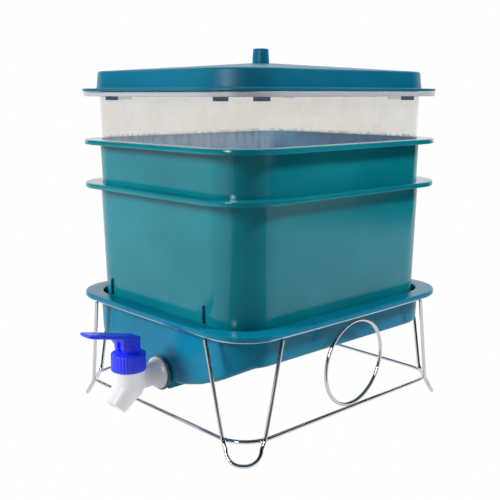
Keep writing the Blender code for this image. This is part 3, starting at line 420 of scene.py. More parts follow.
def moulded(name, colour, gloss, grain=1.0, uneven=0.06, **constant):
    """Moulded plastic: a slow drift of tone, a fine tool grain, and faint rubbed specks."""
    finish = Finish(name, **constant)
    drift = finish.noise(9, 3)
    grains = finish.noise(1500, 2)
    ripple = finish.noise(26, 2, stretch=(1, 1, 0.35))
    specks = finish.spread(finish.noise(420, 4, rough=0.7), 0.66, 0.80)
    deep = tuple(0.90 * c for c in colour)
    bright = tuple(min(1, 1.10 * c + 0.004) for c in colour)
    tone = finish.blend(finish.spread(drift, 0.3, 0.7), deep, bright)
    rubbed = finish.blend(0.06 * specks, tone, (0.55, 0.75, 0.80))
    rough = gloss + uneven * (drift - 0.5) + 0.10 * specks
    height = 0.5 * grain * grains + 2.0 * ripple
    return finish.feed(Base_Color=rubbed, Roughness=rough, Normal=finish.bump(height, 0.00006))


def frosted():
    """Frosted clear plastic: thin milk whose density wanders in fine vertical streaks.

    Below the rim of the tray that it nests in, the milk carries that tray's colour as a painted
    tint, and its glow is painted light from that tray lit behind the wall, both less so with depth.
    That glow is brighter on the wall at -x, and shaded in streaks and just under that rim. Above
    it, the two walls on the camera's far side are warmer in colour, and every wall but the rim has
    a faint orange painted glow, strongest on those two. The turned-down rim is paler and thicker.
    Behind is 1 on those two walls, where y - x is large.
    """
    finish = Finish("frosted_plastic_painted_glow", ior=1.49, emission_strength=1.0)
    streak = finish.noise(170, 4, stretch=(1, 1, 0.16), rough=0.75)
    cloud = finish.noise(30, 3)
    ragged = finish.noise(260, 4, rough=0.8)
    fine = finish.noise(1300, 2)
    across, along, height = finish.axes(finish.place)
    edge_z = TRAY_RIMS["upper_tray"]
    rim_z = TRAY_RIMS["clear_tray"] - TRAY_LIP

    behind = finish.spread(along - across, 0.02, 0.05)
    grainy = behind * finish.spread(ragged, 0.42, 0.62, 0.0, 0.0040)
    sunk = finish.spread(height - grainy, edge_z - 0.0003, edge_z + 0.0006, 1.0, 0.0)
    nested = sunk * finish.spread(height, edge_z - 0.085, edge_z - 0.036, 0.15, 1.0)
    rim = finish.spread(height, rim_z - 0.0002, rim_z + 0.0002)
    far = finish.spread(along - across + 0.3 * (cloud - 0.5), 0.08, 0.26)
    # Mask of the two back walls above the upper tray's rim: warmer colour, a little denser milk and
    # a stronger painted glow there.
    upper_back_walls = behind * (1 - sunk) * far

    clear = finish.blend(upper_back_walls, (0.40, 0.325, 0.225), (0.50, 0.370, 0.120))
    walls = finish.blend(nested, clear, (0.10, 0.30, 0.45))
    colour = finish.blend(rim, walls, (0.52, 0.535, 0.58))
    milk = 0.12 + 0.03 * upper_back_walls + 0.03 * (streak - 0.5) + 0.08 * (cloud - 0.5)
    alpha = milk + 0.35 * nested + 0.70 * rim

    # Painted light: the emission stands in for light coming through the frosted walls. Below the
    # upper tray's rim it is blue, brighter on the wall at -x and shaded in streaks and just under
    # that rim; above it, orange.
    off_left_wall = finish.spread(across, -0.127, -0.115)
    lit = finish.blend(off_left_wall, (0.25, 0.35, 0.46), (0.035, 0.11, 0.23))
    streaked = finish.spread(streak, 0.30, 0.70, 0.60, 1.40)
    shade = streaked * finish.spread(height, edge_z - 0.008, edge_z, 1.0, 0.75)
    painted_orange_glow = finish.blend((0.15 + 0.85 * upper_back_walls) * (1 - rim), (0, 0, 0), (0.22, 0.14, 0.02))
    glow = finish.blend(nested, painted_orange_glow, finish.blend(shade, (0, 0, 0), lit))
    return finish.feed(Base_Color=colour, Roughness=0.38 + 0.12 * (fine - 0.5), Alpha=alpha,
                       Emission_Color=glow, Normal=finish.bump(1.0 * fine + 1.4 * streak, 0.00008))


def chromed(name, dull, bright):
    """Chrome plate over drawn wire: faint drawing marks and a breath of haze between two tones."""
    finish = Finish(name, metallic=1.0)
    haze = finish.noise(60, 3)
    marks = finish.noise(900, 2)
    colour = finish.blend(haze, dull, bright)
    rough = 0.04 + 0.05 * finish.spread(haze, 0.45, 0.75) + 0.02 * marks
    return finish.feed(Base_Color=colour, Roughness=rough, Normal=finish.bump(marks, 0.00002))


def milky():
    """Milky polypropylene: soft white, and a painted glow for light through it, least near the
    tub's wall.
    """
    finish = Finish("milky_plastic_painted_glow", ior=1.49, subsurface_weight=0.25, subsurface_scale=1.0,
                    subsurface_radius=(0.004, 0.004, 0.005), emission_strength=1.0)
    cloud = finish.noise(55, 3)
    fine = finish.noise(1600, 2)
    colour = finish.blend(cloud, (0.46, 0.465, 0.47), (0.54, 0.54, 0.55))
    # Painted light: the emission is a glow for light coming through the plastic, weaker towards the
    # tub's wall.
    near_tub = finish.spread(finish.axes(finish.place)[1], TAP[1] - 0.005, TAP[1] + 0.025)
    through = finish.blend(near_tub, (0.39, 0.39, 0.41), (0.14, 0.15, 0.17))
    rough = 0.30 + 0.14 * (cloud - 0.5) + 0.06 * (fine - 0.5)
    return finish.feed(Base_Color=colour, Roughness=rough, Emission_Color=through,
                       Normal=finish.bump(fine + 1.5 * cloud, 0.00005))


def rubber():
    """Clear washer rubber: grey green, with a dusty bloom."""
    finish = Finish("washer_rubber", ior=1.45)
    bloom = finish.noise(240, 4, rough=0.65)
    fine = finish.noise(1800, 2)
    dusty = finish.spread(bloom, 0.35, 0.7)
    colour = finish.blend(dusty, (0.08, 0.13, 0.14), (0.20, 0.27, 0.28))
    return finish.feed(Base_Color=colour, Roughness=0.45 + 0.2 * (bloom - 0.5),
                       Alpha=0.85 + 0.1 * (bloom - 0.5), Normal=finish.bump(fine, 0.00004))


def steel():
    """Turned steel: fine tool marks."""
    finish = Finish("turned_steel", metallic=1.0)
    marks = finish.noise(1400, 3)
    colour = finish.blend(marks, (0.50, 0.50, 0.52), (0.62, 0.62, 0.63))
    return finish.feed(Base_Color=colour, Roughness=0.26 + 0.14 * marks,
                       Normal=finish.bump(marks, 0.00002))


def netting():
    """Fine net in the air slots: crossed threads over a dark ground, and clear from inside.

    The ground is painted shade, for the shadowed inside of the stack behind the slots. Threads
    stand where sin(pitch * (x + y)) or sin(pitch * z) is high. The side that faces away from the
    stack's middle has normal . (place - middle) above zero.
    """
    finish = Finish("vent_net_painted_shade", roughness=0.7)
    across, along, height = finish.axes(finish.place)
    pitch = 2 * math.pi / 0.0009
    around = finish.maths("SINE", pitch * (across + along))
    upward = finish.maths("SINE", pitch * height)
    thread = finish.maths("MAXIMUM", around, upward)
    facing_x, facing_y, _ = finish.axes(finish.node("ShaderNodeNewGeometry", out="Normal"))
    outer = finish.spread(facing_x * across + facing_y * (along - STACK_Y), -0.01, 0.01)
    # Painted shade: between the threads, dark blue for the shadowed inside behind the slots.
    net = finish.blend(finish.spread(thread, 0.1, 0.8), (0.085, 0.160, 0.260), (0.19, 0.29, 0.41))
    colour = finish.blend(outer, (0.30, 0.33, 0.38), net)
    return finish.feed(Base_Color=colour, Alpha=0.25 + 0.75 * outer,
                       Normal=finish.bump(thread, 0.0001))


LID_BLUE = moulded("lid_blue_plastic", (0.001, 0.140, 0.240), gloss=0.36, grain=3.0,
                   specular_ior_level=0.25)
TUB_BLUE = moulded("tub_blue_plastic", (0.001, 0.185, 0.310), gloss=0.20,
                  specular_ior_level=0.20)
TRAY_TEAL = moulded("tray_teal_plastic", (0.001, 0.195, 0.248), gloss=0.12, uneven=0.03,
                    specular_ior_level=0.50)
# The tap's blue carries a painted glow: an even blue emission in place of more light falling on it.
TAP_BLUE = moulded("tap_blue_plastic_painted_glow", (0.030, 0.050, 0.88), gloss=0.26, coat_weight=0.1,
                   coat_roughness=0.15, emission_color=(0.015, 0.03, 0.90, 1),
                   emission_strength=0.16)
FROSTED = frosted()
CHROME = chromed("chrome_plate", (0.70, 0.72, 0.75), (0.78, 0.79, 0.82))
# The top ring's chrome is teal and duller: a painted reflection of the blue rim and tub around it.
RIM_CHROME_PAINTED_REFLECTION = chromed("chrome_under_rim_painted_reflection", (0.40, 0.62, 0.68), (0.50, 0.72, 0.77))
MILKY = milky()
RUBBER = rubber()
STEEL = steel()
NET = netting()


# Trays

def tray_form(name, rim_z):
    """Tray: out along the floor, up the leaning wall, over the turned-down rim and down inside.

    Every meeting is an arc.
    """
    under, bottom = TRAY_HIGH - TRAY_SHELL, TRAY_HIGH - TRAY_LIP
    thick, small, root, shoulder = TRAY_SHELL, 0.0006, 0.0014, 0.0011
    inner_foot = TRAY_FOOT - thick

    def wall(drawn, z):
        return leaning(TRAY_WALL, TRAY_HIGH, drawn, z)

    def lip(drawn, z):
        return bands(TRAY_RIM, drawn, z)

    grid = np.concatenate([
        wall(*bend(TRAY_FOOT, TRAY_FOOT, TRAY_FOOT, -90, 0, 8)),
        wall(np.zeros(5), np.linspace(TRAY_FOOT, under - root, 7)[1:-1]),
        wall(*bend(-root, under - root, root, 180, 90)),
        lip(*bend(thick + small, under - small, small, 90, 0)),
        lip(*bend(thick - small, bottom + small, small, 180, 270, 4)),
        lip(*bend(small, bottom + small, small, -90, 0, 4)),
        lip(*bend(shoulder, TRAY_HIGH - shoulder, shoulder, 0, 90)),
        wall(*bend(thick - small, TRAY_HIGH - small, small, 90, 180)),
        wall(np.full(5, thick), np.linspace(TRAY_HIGH - small, TRAY_FLOOR + inner_foot, 7)[1:-1]),
        wall(*bend(thick + inner_foot, TRAY_FLOOR + inner_foot, inner_foot, 0, -90, 8)),
    ])
    return skin(name, grid + (0, STACK_Y, rim_z - TRAY_HIGH))


def floor_holes(base):
    """Cutter for the sieve: square holes at (number - middle) * pitch, but none in the corners."""
    across, along = (np.arange(count) - (count - 1) / 2 for count in HOLE_COUNT)
    x, y = np.meshgrid(across * HOLE_PITCH, along * HOLE_PITCH + STACK_Y)
    keep = (np.abs(x) < HOLE_KEEP[0]) | (np.abs(y - STACK_Y) < HOLE_KEEP[1])
    low, high = (-HOLE_HALF, -HOLE_HALF, -0.004), (HOLE_HALF, HOLE_HALF, 0.006)
    middles = np.column_stack([x[keep], y[keep], np.full(keep.sum(), base)])
    return blocks("holes", [(middle + low, middle + high) for middle in middles])


def air_slots(rim_z):
    """Cutter for the slots, shorter at the corners. The far sides' are these turned half round."""
    high, low = (rim_z - drop for drop in SLOT_DROP)
    boxes = []
    for turn in (1, -1):
        near_y, far_y = sorted(-turn * reach for reach in SLOT_REACH_Y)
        for x, half in SLOTS_FRONT:
            boxes.append(((turn * x - half, near_y + STACK_Y, low),
                          (turn * x + half, far_y + STACK_Y, high)))
        near_x, far_x = sorted(turn * reach for reach in SLOT_REACH_X)
        for y, half in SLOTS_RIGHT:
            boxes.append(((near_x, turn * y - half + STACK_Y, low),
                          (far_x, turn * y + half + STACK_Y, high)))
    return blocks("slots", boxes)


def hanging_ribs():
    """Thin ribs under the lower tray that stand on the tub's rim: flat below, sloping on top."""
    foot_z = TUB_RIM_Z + CLEAR
    top_z = foot_z + RIB_HIGH
    face = TUB_WALL[1] - TUB_SHELL + RIB_OVER

    def root(z):
        return TRAY_WALL[1] - SLOPE * (TRAY_RIMS["lower_tray"] - z) - TRAY_SHELL / 2

    side = np.array(((face, foot_z), (face, top_z - RIB_SLOPE),
                     (root(top_z), top_z), (root(foot_z), foot_z)))
    verts, faces = [], []
    for turn in (1, -1):
        for x in RIB_X:
            start = 4 * len(verts)
            for edge_x in (x - RIB_HALF, x + RIB_HALF):
                verts.append(np.column_stack([np.full(4, turn * edge_x),
                                              -turn * side[:, 0] + STACK_Y, side[:, 1]]))
            a, b = list(range(start, start + 4)), list(range(start + 4, start + 8))
            faces += [a[::-1], b] + [(a[i], a[(i + 1) % 4], b[(i + 1) % 4], b[i]) for i in range(4)]
    return piece("ribs", np.vstack(verts), faces)


def outward(made):
    """Turn every face outwards."""
    mesh = bmesh.new()
    mesh.from_mesh(made.data)
    bmesh.ops.recalc_face_normals(mesh, faces=mesh.faces)
    mesh.to_mesh(made.data)
    mesh.free()
    return made


for node, rim_z in TRAY_RIMS.items():
    tray = tray_form("look_" + node, rim_z)
    carve(tray, floor_holes(rim_z - TRAY_HIGH))
    if node == "lower_tray":
        carve(tray, outward(hanging_ribs()), "UNION")
    if node == "clear_tray":
        carve(tray, air_slots(rim_z))
        dress(tray, FROSTED, node, node, slot="frosted")
    else:
        dress(tray, TRAY_TEAL, node, node, slot="tray_green")


# Drip tub

def hollow_height(x, y):
    """Underside of the floor: level - sag * (1 - (x / half)^2) * (how far forward)^2."""
    foot_y = TUB_WALL[1] - SLOPE * TUB_DEEP
    across = np.clip(1 - (x / TUB_SAG_HALF) ** 2, 0, None)
    ahead = np.clip((foot_y - y) / (2 * foot_y), 0, 1)
    return TUB_RIM_Z - TUB_DEEP - TUB_SAG * across * ahead ** 2


def tub_floor(drawn, lift, share=1.0):
    """Rows on the floor: the wall's foot drawn in and shrunk, and dropped on to the hollow."""
    grid = bands(TUB_WALL, SLOPE * TUB_DEEP + np.asarray(drawn), lift, share=share)
    grid[..., 2] += hollow_height(grid[..., 0], grid[..., 1])
    return grid


def tub_side(drawn, lift, radius, steps=18):
    """Floor from its middle to its rounded foot, where the wall starts."""
    shares = np.linspace(0.02, 0.98, steps)
    flat = tub_floor(np.full(steps, drawn + radius), np.full(steps, lift), shares)
    angle = np.radians(np.linspace(0, 90, 9))
    foot = tub_floor(drawn + radius * (1 - np.sin(angle)), lift + radius * (1 - np.cos(angle)))
    return np.concatenate([flat, foot])


def climb(low, high, steps=6):
    """Rows that run evenly from one row to another."""
    share = np.linspace(0, 1, steps + 2)[1:-1, None, None]
    return low * (1 - share) + high * share


def tub_form():
    """Tub: floor with its hollow, wall, bowed rim with its small lip, and the inside."""
    under = TUB_RIM_Z - TUB_RIM_THICK
    lip_wall, lip_z = TUB_LIP[0], under - TUB_LIP[1]
    root, small, lip_round, top = 0.0014, 0.0008, 0.0006, TUB_RIM_ROUND

    def wall(drawn, z):
        return leaning(TUB_WALL, TUB_RIM_Z, drawn, z)

    def rim(drawn, z):
        return bands(TUB_RIM, drawn, z, TUB_BOW)

    outside = tub_side(0, 0, TUB_FOOT)
    inside = tub_side(TUB_SHELL, TUB_SHELL, TUB_FOOT - TUB_SHELL)
    outer_root = wall(*bend(-root, under - root, root, 180, 90))
    inner_edge = wall(*bend(TUB_SHELL - small, TUB_RIM_Z - small, small, 90, 180))
    grid = np.concatenate([
        outside, climb(outside[-1], outer_root[0]), outer_root,
        rim(np.full(2, lip_wall), (under, lip_z + 0.0002)),
        rim(*bend(lip_round, lip_z + lip_round, lip_round, -90, 0)),
        rim(*bend(top, TUB_RIM_Z - top, top, 0, 90)),
        inner_edge, climb(inner_edge[-1], inside[-1]), inside[::-1],
    ])
    return skin("look_base_tub", grid + (0, STACK_Y, 0), ends="fan")


def arch(name, half, drop, depth, at_y, steps=32):
    """Pad seen from the front, round on top and square below, from at_y back by depth."""
    angle = np.linspace(0, math.pi, steps + 1)
    x = np.concatenate([[-half, half], half * np.cos(angle)]) + TAP[0]
    z = np.concatenate([[-drop, -drop], half * np.sin(angle)]) + TAP[2]
    grid = np.stack([np.column_stack([x, np.full(len(x), y), z]) for y in (at_y + depth, at_y)])
    return skin(name, grid)


def build_tub():
    """Tub with the flat pad that the tap's washer seals on, the well behind it and the hole."""
    tub = tub_form()
    middle = TUB_SHELL / 2
    hidden = np.concatenate([tub_side(middle, middle, TUB_FOOT),
                             leaning(TUB_WALL, TUB_RIM_Z, middle, TUB_RIM_Z + 0.01)])
    pad = arch("pad", *PAD, PAD_Y)
    carve(pad, skin("hidden", hidden + (0, STACK_Y, 0), ends="fan"))
    carve(tub, pad, "UNION")
    carve(tub, arch("well", *WELL, PAD_Y + TUB_SHELL))
    hole = [(TAP_HOLE, -0.004), (TAP_HOLE, 0.0063)]
    return carve(tub, turned("hole", hole, (TAP[0], PAD_Y, TAP[2]), (0, 1, 0)))


dress(build_tub(), TUB_BLUE, "base", "base_tub", slot="lid_blue", sharp=30)


# Lid and knob

def crown(share):
    """Top of the lid: edge + rise * (1 - share), an even slope up to a flat seat in the middle."""
    return LID_HIGH + LID_RISE * (1 - np.asarray(share)) / (1 - LID_SEAT)


def lid_form():
    """Lid: the inside down to its skirt, out along the rim, up the wall and over the crown."""
    small, tiny, fillet, inner_edge = 0.0010, 0.0004, 0.0016, 0.002
    shares = np.concatenate([[LID_SEAT], np.linspace(0.13, 1, 26)])
    back = shares[-2::-1]
    lean = LID_LEAN + LID_EDGE
    inner = LID_LEAN + LID_SHELL + inner_edge
    skirt = tuple(size - SKIRT_INSET for size in TRAY_WALL)
    gap = CLEAR + SLOPE * LID_SKIRT

    def wall(drawn, z):
        return bands(LID_WALL, drawn, z)

    def rim(drawn, z):
        return bands(LID_RIM, drawn, z)

    up = np.linspace(LID_RIM_THICK + fillet, LID_HIGH - LID_EDGE, 8)
    leaning = LID_LEAN * (up - LID_RIM_THICK) / (LID_HIGH - LID_EDGE - LID_RIM_THICK)
    grid = np.concatenate([
        bands(LID_WALL, np.full(len(shares), inner), crown(shares) - LID_SHELL, share=shares),
        wall(*bend(inner, LID_HIGH - LID_SHELL - inner_edge, inner_edge, 80, 0, 5)),
        wall(LID_SHELL, LID_SHELL),
        bands(skirt, gap + SKIRT_WALL, LID_SHELL),
        bands(skirt, *bend(gap + SKIRT_WALL - tiny, tiny - LID_SKIRT, tiny, 180, 270, 3)),
        bands(skirt, *bend(gap + tiny, tiny - LID_SKIRT, tiny, -90, 0, 3)),
        bands(skirt, gap, 0),
        rim(*bend(small, small, small, -90, 0)),
        rim(*bend(small, LID_RIM_THICK - small, small, 0, 90)),
        wall(*bend(-fillet, LID_RIM_THICK + fillet, fillet, 270, 180)),
        wall(leaning, up),
        wall(*bend(lean, LID_HIGH - LID_EDGE, LID_EDGE, 8, 82, 7)),
        bands(LID_WALL, np.full(len(back), lean), crown(back), share=back),
    ])
    lid = skin("look_lid_shell", grid + (0, STACK_Y, LID_Z))
    return carve(lid, turned("hole", [(0.0038, -0.006), (0.0038, 0.004)], KNOB_SEAT))


dress(lid_form(), LID_BLUE, "lid", "lid_shell", slot="lid_blue")


def knob_form():
    """Peg knob: spigot and bore for the screw below, a rounded foot, a taper and a round top."""
    bore, spigot, low = 0.00205, 0.0035, -0.002
    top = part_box("lid_knob")[1].z - KNOB_SEAT[2]
    profile = [(bore, 0.0103), (bore, low), (spigot, low), (spigot, CLEAR)]
    profile += edge(0.0094, 0.0005 + CLEAR, 0.0005, -90, 0)
    profile += edge(0.0075, top - 0.0018, 0.0015, 4, 90, 8)
    profile += [(0.006, top - 0.00015), (0.003, top - 0.00005), (0.0004, top)]
    return turned("look_lid_knob", profile, KNOB_SEAT)


def screw_form():
    """Screw under the knob: a rounded head, and a thread whose radius steps in every second row."""
    stem, head_top = 0.00175, -0.0023
    profile = [(0.0006, -0.0039), (0.0012, -0.0045)] + edge(0.0040, -0.0036, 0.0012, -80, 0, 6)
    profile += [(0.00525, head_top), (stem, head_top)]
    profile += [(stem - 0.0002 * (i % 2), -0.0019 + 0.0005 * i) for i in range(22)]
    profile += [(0.0012, 0.0095), (0.0004, 0.0097)]
    return turned("look_knob_screw", profile, KNOB_SEAT, steps=48)


dress(knob_form(), LID_BLUE, "lid", "lid_knob", slot="lid_blue")
dress(screw_form(), STEEL, "lid", "knob_screw", slot="steel")


# Wire stand

def ring_line(outline, z, bow=0.0):
    """Centre line of a ring and its outward direction, which is across the line and level."""
    path = bands(outline, 0, z, bow)[0]
    ahead = np.roll(path, -1, axis=0) - np.roll(path, 1, axis=0)
    out = np.column_stack([ahead[:, 1], -ahead[:, 0], 0 * ahead[:, 0]])
    return path + (0, STACK_Y, 0), out


for node, line, finish in (
        ("stand_top_ring", ring_line(TOP_RING, TOP_RING_Z, TUB_BOW), RIM_CHROME_PAINTED_REFLECTION),
        ("stand_bottom_ring", ring_line(LOW_RING, LOW_RING_Z), CHROME)):
    dress(tube("look_" + node, *line), finish, "base", node, slot="chrome")


def eased(corner, before, after, reach, steps=8):
    """Bend between two straight runs: (1 - t)^2 * start + 2 * t * (1 - t) * corner + t^2 * stop."""
    corner, before, after = (np.array(p, float) for p in (corner, before, after))
    start = corner + (before - corner) * reach / np.linalg.norm(before - corner)
    stop = corner + (after - corner) * reach / np.linalg.norm(after - corner)
    t = np.linspace(0, 1, steps + 1)[:, None]
    return (1 - t) ** 2 * start + 2 * t * (1 - t) * corner + t ** 2 * stop


def leg_line(sx, sy):
    """A leg: down from the top ring past the bottom ring, round the U and back up.

    In the corner's own axes (across, out, up) the U is radius * (-cos, sin * kick, -cos * kick),
    opened at the bottom by its flat run.
    """
    corner = np.array((sx * (LOW_RING[0] - LOW_RING[2]), sy * (LOW_RING[1] - LOW_RING[2])))
    out, across = np.array((sx, sy)) / math.sqrt(2), np.array((-sy, sx)) / math.sqrt(2)
    at_ring = math.sqrt((LOW_RING[2] + 2 * WIRE + CLEAR) ** 2 - LEG_HALF ** 2)
    bend_z = WIRE + FOOT_RADIUS * math.cos(FOOT_KICK)
    at_bend = at_ring + (LOW_RING_Z - bend_z) * math.tan(FOOT_KICK)
    angle = np.linspace(0, math.pi, 33)
    lower = FOOT_RADIUS * np.sin(angle)
    spread = -FOOT_RADIUS * np.cos(angle) + FOOT_FLAT / 2 * np.sign(-np.cos(angle))
    top_z = TOP_RING_Z - WIRE - 2 * CLEAR
    ends = [np.array((corner[0] - sx * LEG_TOP_BACK, sy * TOP_RING[1], top_z)),
            np.array((sx * TOP_RING[0], corner[1] - sy * LEG_TOP_BACK, top_z))]
    ends.sort(key=lambda end: (end[:2] - corner) @ across)

    def place(points):
        """From (across, out, up) to the frame, but for the stack's place along y."""
        points = np.atleast_2d(points)
        flat = corner + points[:, :1] * across + points[:, 1:2] * out
        return np.column_stack([flat, points[:, 2]])

    foot = place(np.column_stack([spread, at_bend + lower * math.sin(FOOT_KICK),
                                  bend_z - lower * math.cos(FOOT_KICK)]))
    left, right = (place((half, at_ring, LOW_RING_Z))[0] for half in (-LEG_HALF, LEG_HALF))
    path = np.concatenate([ends[0][None], eased(left, ends[0], foot[0], LEG_BEND), foot,
                           eased(right, foot[-1], ends[1], LEG_BEND), ends[1][None]])
    return path + (0, STACK_Y, 0), (*out, 0)


for node, sx, sy in (("stand_leg_front_left", -1, -1), ("stand_leg_front_right", 1, -1),
                     ("stand_leg_back_left", -1, 1), ("stand_leg_back_right", 1, 1)):
    leg = tube("look_" + node, *leg_line(sx, sy), closed=False)
    dress(leg, CHROME, "base", node, slot="chrome")


def circle_line(side, steps=96):
    """Centre line of a side circle: middle + lean * high * sin + across * wide * cos."""
    rise = np.array((TOP_RING[0] - LOW_RING[0], 0, TOP_RING_Z - LOW_RING_Z))
    lean = rise / np.linalg.norm(rise)
    high = (np.linalg.norm(rise) - 2 * (2 * WIRE + CLEAR)) / 2
    middle = np.array((LOW_RING[0], 0, LOW_RING_Z)) + rise / 2
    angle = (np.arange(steps) * 2 * math.pi / steps)[:, None]
    across = np.array((0, 1, 0))
    mirror = np.array((side, 1, 1))
    path = middle + lean * high * np.sin(angle) + across * CIRCLE_HALF * np.cos(angle)
    out = lean * np.sin(angle) + across * np.cos(angle)
    return path * mirror + (0, STACK_Y, 0), out * mirror


for node, side in (("stand_circle_left", -1), ("stand_circle_right", 1)):
    circle = outward(tube("look_" + node, *circle_line(side)))
    dress(circle, CHROME, "base", node, slot="chrome")


# Tap body

def along_tap(name, profile):
    """Turned form about the shank's axis, which runs back from the barrel."""
    return turned(name, profile, TAP, (0, 1, 0))


def shank_form():
    """Shank: a plain run that flares by share^3 to the flange, and a thread inside the tub."""
    flare, run, root, thick, small = 0.85 * (FLANGE - SHANK), 0.012, 0.0032, 0.0026, 0.0006
    shank = [(SHANK, 0)]
    shank += [(SHANK + flare * s ** 3.0, FLANGE_Y - root - run * (1 - s))
              for s in np.linspace(0, 1, 12)]
    shank += [(FLANGE, FLANGE_Y - thick), (FLANGE, FLANGE_Y - small),
              (FLANGE - small, FLANGE_Y), (THREAD, FLANGE_Y)]
    shank += [(THREAD - small * (i % 3 == 0), FLANGE_Y + 0.0005 * i + 0.001)
              for i in range(1, 34)]
    shank += [(THREAD - small, FLANGE_Y + SHANK_PAST)]
    return along_tap("shank", shank)


def tap_form():
    """Barrel on a round bowl, shank and slanted spout, bored through and softened at the joins."""
    small, tiny, tip = 0.0006, 0.0005, 0.00095
    bowl = [(BARREL * math.sin(a), -BOWL_DROP - BARREL * math.cos(a))
            for a in np.linspace(0.04, math.pi / 2, 24)]
    barrel = bowl + edge(BARREL - small, SHOULDER_Z - small, small, 0, 90)
    barrel += [(NECK[0], SHOULDER_Z)] + edge(NECK[0] - tiny, NECK[1] - tiny, tiny, 0, 90)
    tap = turned("look_tap_body", barrel, TAP)
    carve(tap, shank_form(), "UNION")
    spout_axis = (0, -math.sin(SPOUT_LEAN), -math.cos(SPOUT_LEAN))
    start = (TAP[0], TAP[1], SPOUT_Z)
    wide, narrow, end = SPOUT
    spout = [(wide, 0), (narrow, end - 0.0018)]
    spout += edge(narrow - tip, end - tip, tip, 0, 90)
    carve(tap, turned("spout", spout, start, spout_axis), "UNION")
    carve(tap, turned("chamber", [(CHAMBER, -0.0066), (CHAMBER, 0.030)], TAP))
    carve(tap, along_tap("bore", [(BORE, 0), (BORE, 0.062)]))
    carve(tap, turned("mouth", [(MOUTH, 0.012), (MOUTH, end + 0.004)], start, spout_axis))
    carve(tap, turned("seat", [(0.006, -0.0186), (0.006, -0.0026)], TAP))
    return soften(tap, grain=0.00045, rounds=8)


dress(tap_form(), MILKY, "base", "tap_body", slot="tap_white", sharp=0)


# Washers, nut and collar

def washer(name, outer, y):
    """Flat ring with rounded edges about the shank's axis, from y back by its thickness."""
    small, large = 0.0003, 0.0006
    profile = edge(TAP_HOLE + small, small, small, 180, 270)
    profile += edge(outer - large, large, large, -90, 0)
    profile += edge(outer - large, WASHER - large, large, 0, 90)
    profile += edge(TAP_HOLE + small, WASHER - small, small, 90, 180)
    return turned(name, profile, (TAP[0], y, TAP[2]), (0, 1, 0), ring=True)


for place, outer, y in (("outer", 0.019, PAD_Y - CLEAR - WASHER),
                        ("inner", 0.012, PAD_Y + TUB_SHELL + CLEAR)):
    node = f"tap_{place}_washer"
    dress(washer("look_" + node, outer, y), RUBBER, "base", node, slot="sealing")


def nut_form():
    """Hexagon nut: reach = flat / cos(angle off the flat), and no more than the profile's."""
    corner, bore, high, small = 0.0118, TAP_HOLE, 0.0060, 0.0004
    profile = np.array([(0.0108, 0.0), (corner, 0.0006), (corner, high - 0.0006), (0.0108, high),
                        (bore + small, high), (bore, high - small), (bore, small),
                        (bore + small, 0.0)])
    angle = np.arange(72) * 2 * math.pi / 72
    off = angle % (math.pi / 3) - math.pi / 6
    reach = np.minimum(profile[:, :1], corner * math.cos(math.pi / 6) / np.cos(off))
    grid = np.stack([reach * np.cos(angle), profile[:, 1:] + 0 * angle, reach * np.sin(angle)],
                    axis=-1)
    at = (TAP[0], PAD_Y + TUB_SHELL + 2 * CLEAR + WASHER, TAP[2])
    return outward(skin("look_tap_nut", grid + at, ring=True))


dress(nut_form(), MILKY, "base", "tap_nut", slot="tap_white")


def collar_form():
    """Screw collar: radius = full - rib * ((1 + cos(32 turns)) / 2)^2, ribbed only on the skirt."""
    full, bore, guide, high, under = 0.0182, 0.0148, 0.0030, 0.018, 0.013
    rib, ribs, small = 0.0005, 32, 0.0004
    profile = [(bore, small), (bore + small, 0)] + edge(full - 0.0009, 0.0009, 0.0009, -90, 0, 5)
    profile += [(full, z) for z in np.linspace(0.003, high - 0.003, 4)]
    profile += edge(full - 0.0012, high - 0.0012, 0.0012, 0, 90, 6)
    profile += [(0.012, high), (0.0075, high), (guide + small, high), (guide, high - small),
                (guide, under), (bore, under)]
    radius, z = np.hsplit(np.array(profile), 2)
    angle = np.arange(288) * 2 * math.pi / 288
    wave = (0.5 + 0.5 * np.cos(ribs * angle)) ** 2
    on_skirt = np.clip((radius - (full - 0.0011)) / 0.0006, 0, 1)
    reach = radius - rib * wave * on_skirt
    grid = np.stack([reach * np.cos(angle), reach * np.sin(angle), z + 0 * angle], axis=-1)
    return skin("look_tap_collar", grid + (TAP[0], TAP[1], COLLAR_Z), ring=True)


dress(collar_form(), TAP_BLUE, "base", "tap_collar", slot="tap_blue", sharp=50)


# Lever and pin

def lever_block():
    """Cheeks of the lever: a round heel ahead of the pin, a flat sole and a square back."""
    front, small = HEEL_AHEAD + HEEL, 0.0006
    nose = LEVER_TOP + (LEVER_BACK + front) * math.tan(PADDLE_RISE) - PADDLE_HALF[1]
    angle = np.radians(np.linspace(180, 270, 17))
    side = np.vstack([[(LEVER_BACK, -HEEL), (LEVER_BACK, LEVER_TOP - small),
                       (LEVER_BACK - small, LEVER_TOP), (-front, nose)],
                      np.column_stack([-HEEL_AHEAD + HEEL * np.cos(angle), HEEL * np.sin(angle)])])
    grid = np.stack([np.column_stack([np.full(len(side), x), side])
                     for x in (-LEVER_HALF, LEVER_HALF)])
    return outward(skin("look_tap_lever", grid + PIN))


